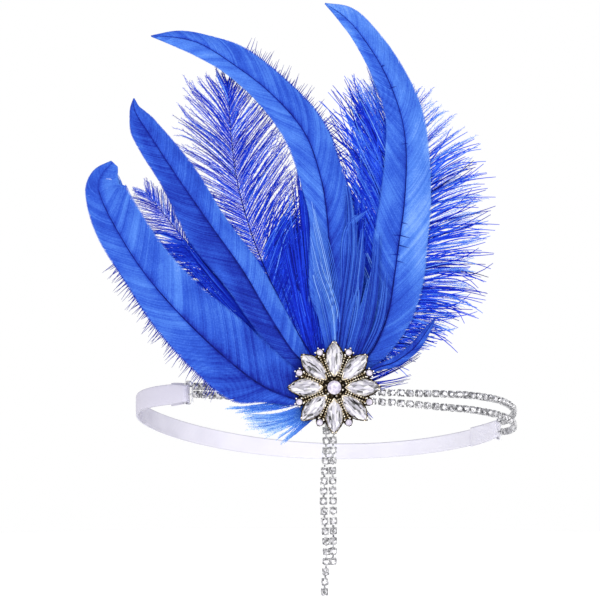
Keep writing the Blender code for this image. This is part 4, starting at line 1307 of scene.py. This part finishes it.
def hair_routes(lines, spacing, longest, tip, chance):
    """Fine hairs that stand off each barb on both sides."""
    routes = []
    for line in lines:
        count = max(2, round(sum((b - a).length for a, b in zip(line, line[1:])) / spacing))
        for i in range(count):
            u = (i + chance.random()) / count
            j = min(int(u * PLUME_CELLS), PLUME_CELLS - 1)
            start = line[j].lerp(line[j + 1], u * PLUME_CELLS - j)
            turn = math.radians(chance.uniform(18.0, 50.0)) * chance.choice((-1.0, 1.0))
            heading = Matrix.Rotation(turn, 3, "Y") @ (line[j + 1] - line[j]).normalized()
            reach = longest * chance.uniform(0.5, 1.0) * (1.0 - 0.45 * u)
            shade = 0.38 + tip * u + chance.gauss(0.0, 0.12)
            sag = Vector((0.0, chance.uniform(-0.4, 0.2), 0.0))
            routes.append([(start, 0.15, shade), (start + heading * reach + sag, 0.05, shade)])
    return routes


def wisp_lines(root_x, root_z, tip_x, tip_z, spread, count, layer, bend, chance):
    """Barbs that leave one place and end near another, bent a little."""
    start = Vector((root_x, 0.0, root_z))
    lines = []
    for _ in range(count):
        end = Vector((tip_x + chance.gauss(0.0, spread), 0.0, tip_z + chance.gauss(0.0, spread)))
        end = start.lerp(end, chance.uniform(0.8, 1.0))
        root = start + Vector((chance.uniform(-2.0, 2.0), 0.0, chance.uniform(-1.6, 1.6)))
        hollow = Vector((0.0, 0.0, bend * (end - root).length))
        shares = [j / PLUME_CELLS for j in range(PLUME_CELLS + 1)]
        lines.append(lay_line([root.lerp(end, u) + hollow * (u * u - u) for u in shares], layer, chance))
    return lines


# %% The three plumes
HAIR_SPACING, LONGEST_HAIR = 0.75, 2.2
FLUFF_THICK, FLUFF_THIN, FLUFF_PAINTED_SHADE = 1.1, 0.25, 0.16
PLUME_SHAFT_THICK, PLUME_SHAFT_THIN = 0.4, 0.12
BUNDLES = {  # plume: root x and z, tip x and z, spread of the tips, number of barbs
    "plume_centre": (
        (-6, 24, -11.5, 114, 2.5, 110),
        (-7, 24, -15, 88, 4, 120),
        (-5, 20, -13, 64, 5, 110),
        (-1, 16, -5, 56, 2.5, 70),
    ),
    "plume_right": (
        (8, 22, 12, 100, 3.5, 70),
        (8, 20, 13, 68, 3, 60),
    ),
    "plume_small": (
        (-14, 22, -52, 66, 4, 70),
        (-14, 22, -63.5, 81, 4, 70),
        (-12, 20, -36, 40, 3, 50),
    ),
}

for seed, (name, (layer, count, pulls, fluffs, (thick, tone, tip), rows)) in enumerate(PLUMES.items()):
    chance = random.Random(200 + seed)
    which = name.split("_")[1]
    shaft = Shaft(rows)
    lines, fluff = [], []
    for side, pull, share in zip((1.0, -1.0), pulls, fluffs):
        lines += plume_lines(shaft, layer, count, side, pull, chance)
        fluff += fluff_lines(shaft, layer + 0.4, round(count * share), side, fluffs[2], chance)
    for bundle in BUNDLES[name]:
        fluff += wisp_lines(*bundle, layer, 0.12, chance)
    routes = barb_routes(lines, thick, thick * 0.35, tone, tip, chance)
    # The fluff is darker by painted shade between the feathers.
    routes += barb_routes(fluff, FLUFF_THICK, FLUFF_THIN, tone - FLUFF_PAINTED_SHADE, 0.10, chance)
    barb_piece("barbs_" + which, routes, plume_finish, [name])
    hairs = hair_routes(lines, HAIR_SPACING, LONGEST_HAIR, tip, chance)
    barb_piece("hairs_" + which, hairs, plume_finish)
    add_shaft("shaft_plume_" + which, shaft, layer, 0.0, PLUME_SHAFT_THICK, PLUME_SHAFT_THIN)

# %% [markdown]
# ## Down at the lower left
# Under the left feather a tuft of its down shows: a pale fan of soft barbs and a few long wisps. It is
# made like a plume, from routes that start at one root.

# %% Down tuft
WISPS = (  # x and z of the root, x and z of the tip, spread of the tips, number of barbs, tone, bend
    (-18, 9, -46.5, 6, 0.5, 16, 0.30, 0.08),
    (-16, 8.8, -41.5, 4.4, 0.6, 22, 0.36, 0.12),
    (-9, 7.2, -38, 2, 0.9, 34, 0.46, 0.28),
    (-9, 6.2, -34.5, -1.4, 1.6, 40, 0.56, 0.28),
    (-9, 5.4, -29.8, -4.6, 1.5, 34, 0.62, 0.26),
    (-7, 4.6, -21.4, -9.4, 0.6, 20, 0.36, 0.12),
    (-7, 5, -24, -7.6, 0.4, 9, 0.46, 0.12),
)
chance = random.Random(300)
routes, hairs = [], []
for *wisp, tone, bend in WISPS:
    lines = wisp_lines(*wisp, MIDDLE_LAYER, bend, chance)
    for route in barb_routes(lines, 0.42, 0.14, tone, 0.42, chance):
        # Painted shade: each barb of the down is darker towards its root under the left feather.
        down_root_shade = [0.35 * (1.0 - j / PLUME_CELLS) ** 2 for j in range(PLUME_CELLS + 1)]
        routes.append([(spot, width, shade - less) for (spot, width, shade), less in zip(route, down_root_shade)])
    hairs += hair_routes(lines, 0.8, 1.6, 0.4, chance)
barb_piece("down_barbs", routes, down_finish, ["down_tuft"])
barb_piece("down_hairs", hairs, down_finish)

# %% [markdown]
# ## Loose barbs and edge hairs
# A few barbs have come loose beside the side feather, and short dark hairs stand off two of the vanes
# where their edges are worn. They are too fine to be solids of their own.

# %% Loose barbs and edge hairs
STRAYS = (  # root x and z, tip x and z, spread, number
    (10, 17, 40.6, 30.4, 0.4, 9),
    (12, 16.5, 38.8, 20.9, 0.7, 5),
    (14, 15, 36.5, 18.6, 0.5, 3),
    (12, 9, 19.5, 1, 0.6, 4),
)
EDGE_HAIRS = (  # feather, side, shares of its length, number, length, degrees from the shaft
    ("feather_left", 1.0, 0.25, 0.70, 100, 6.0, 98.0),
    ("feather_curled", -1.0, 0.50, 0.80, 80, 5.5, 76.0),
)
chance = random.Random(400)
lines = []
for stray in STRAYS:
    lines += wisp_lines(*stray, MIDDLE_LAYER, 0.16, chance)
barb_piece("loose_barbs", barb_routes(lines, 0.55, 0.16, 0.16, -0.1, chance), plume_finish)

routes = []
for name, side, start, end, count, longest, slant in EDGE_HAIRS:
    layer, curl = FEATHERS[name][:2]
    for i in range(count):
        share = start + (end - start) * (i + chance.random()) / count
        spot, along, to_left, reaches = shafts[name].at(share)
        outwards = to_left * side
        edge = spot + outwards * (reaches[0 if side > 0 else 1] - 1.0)
        reach = 1.8 + longest * chance.random() ** 1.2
        angle = math.radians(chance.gauss(slant, 7.0))
        tip = edge + (along * math.cos(angle) + outwards * math.sin(angle)) * reach
        lift = curl * share**4
        routes.append([(lay(edge, layer, lift), 0.42, 0.16), (lay(tip, layer, lift), 0.1, 0.10)])
barb_piece("edge_hairs", routes, plume_finish)

# %% [markdown]
# ## Loosened tufts
# Low down, parts of the two right feathers' vanes have come undone. Their barbs hang together in narrow
# curved tufts that lie in front of the rest. The last tuft lies behind the left feather's tip and fills
# the notch beside it.

# %% Loosened tufts
TUFTS = (  # x and z from the root to the tip, width, number of barbs, tone
    (((3.4, 28), (6.2, 50), (9.6, 76), (9, 96), (6.8, 110.5)), 5, 22, 0.46),
    (((3.2, 28), (6.6, 60), (7.2, 78), (9.4, 87.2), (13.4, 91.6), (22.6, 98.2)), 3.6, 16, 0.56),
    (((5.4, 28), (9, 48), (13.8, 64.3)), 3.4, 12, 0.50),
    (((11, 26), (18.4, 52), (22.6, 94.6)), 4.4, 18, 0.48),
    (((13, 26), (22.4, 46), (26, 76)), 3.4, 12, 0.54),
    (((3.2, 28), (1.6, 56), (-2.4, 76.2), (-6, 90.7), (-9, 105.2)), 6, 9, 0.74),
    (((2.6, 34), (0.8, 50), (-4.6, 66), (-8.8, 84)), 6.5, 10, 0.86),
    (((1, 28), (-3.4, 50), (-8.8, 72)), 4, 10, 0.62),
    (((7, 28), (12.4, 62), (15.4, 92)), 5, 20, 0.50),
    (((9, 28), (15, 48), (19, 70)), 4.4, 16, 0.56),
    (((6, 28), (11, 50), (12, 70)), 4, 14, 0.60),
    (((-98, 88), (-94, 101), (-96, 113)), 6, 54, 0.70),
)
TUFT_LIFT, TUFT_BARB, TUFT_THINNER, TUFT_ROOT_PAINTED_SHADE = 1.5, 0.46, 0.3, 0.28
chance = random.Random(500)
routes = []
for places, width, count, tone in TUFTS:
    table = [(i / (len(places) - 1), *place) for i, place in enumerate(places)]
    for k in range(count):
        offset = (k / (count - 1) - 0.5) * width
        longest = 1.0 - 0.25 * chance.random() - 0.3 * abs(offset) / width
        shade = tone + chance.gauss(0.0, 0.12)
        lift = TUFT_LIFT + chance.uniform(-0.3, 0.3)
        route = []
        for j in range(PLUME_CELLS + 1):
            share = longest * j / PLUME_CELLS
            x, z = smooth_row(table, share)
            ahead_x, ahead_z = smooth_row(table, share + 0.02)
            sideways = Vector((z - ahead_z, 0.0, ahead_x - x)).normalized()
            spot = Vector((x, 0.0, z)) + sideways * (offset * math.sin(math.pi * (0.15 + 0.8 * share)))
            place = lay(spot, FRONT_LAYER, lift * (0.3 + 0.7 * min(1.0, share * 2.0)))
            # Painted shade: each tuft is darker towards its root behind the brooch.
            tuft_root_shade = TUFT_ROOT_PAINTED_SHADE * (1.0 - share) ** 2
            route.append((place, TUFT_BARB - TUFT_THINNER * share, shade - tuft_root_shade))
        routes.append(route)
barb_piece("loose_tufts", routes, vane_finish)

# %% [markdown]
# ## Crease shadows
# Where a feather was bent in its packing, the vane keeps a few creases beside the shaft. Their shade is
# painted as thin dark slivers just above the barbs.

# %% Painted shade in the creases beside the tall feather's shaft
CREASE_SHADOWS = (  # share of the shaft's length, reach to the left, reach to the right
    (0.335, 0.5, 3.6),
    (0.350, 3.2, 1.2),
    (0.372, 0.4, 5.2),
    (0.395, 3.8, 4.6),
    (0.425, 0.6, 3.0),
    (0.610, 2.2, 1.0),
    (0.745, 1.4, 2.4),
    (0.800, 0.4, 2.0),
)
routes = []
layer, curl = FEATHERS["feather_tall"][:2]
for share, left, right in CREASE_SHADOWS:
    spot, along, to_left, _ = shafts["feather_tall"].at(share)
    lift = curl * share**4 + 0.75
    for reach in (left, -right):
        end = spot + to_left * reach - along * abs(reach) * 0.12
        routes.append([(lay(spot, layer, lift), 0.42, 0.10), (lay(end, layer, lift), 0.06, 0.12)])
barb_piece("vane_crease_shadows", routes, plume_finish)

# %% [markdown]
# ## Felt pad
# The strands, the quills and the brooch are glued to a pad of felt that only shows from behind. Felt is
# a mat of fibres, so its finish is bumpy at two scales and has no gloss.

# %% Felt pad
felt = Finish("felt", {"Roughness": 0.95, "Sheen Weight": 0.3})
fibres = felt.noise(felt.place(), 1500.0, 4.0)
lumps = felt.noise(felt.place(), 240.0, 3.0)
felt.feed("Base Color", felt.ramp(fibres * 0.6 + lumps * 0.4, (
    (0.3, (0.62, 0.62, 0.66)), (0.7, (0.84, 0.84, 0.87)),
)))
felt.bump(fibres + lumps, 0.0002, 0.8)

PAD_RADIUS, PAD_Z, PAD_MIDDLE_RADIUS, PAD_THICKNESS = 15.0, 13.5, 89.05, 1.6
bm = bmesh.new()
bmesh.ops.create_grid(bm, x_segments=20, y_segments=20, size=1.0)
for vert in bm.verts:
    u, v = vert.co.x, vert.co.y
    along = PAD_RADIUS * u * math.sqrt(1.0 - v**2 / 2)
    up = PAD_RADIUS * v * math.sqrt(1.0 - u**2 / 2)
    vert.co = loop_point(degrees_of(BROOCH.x + along), PAD_MIDDLE_RADIUS, PAD_Z + up)
thicken(piece("felt_pad", bm, felt, ["backing_pad"]), PAD_THICKNESS, 0.4, 3)
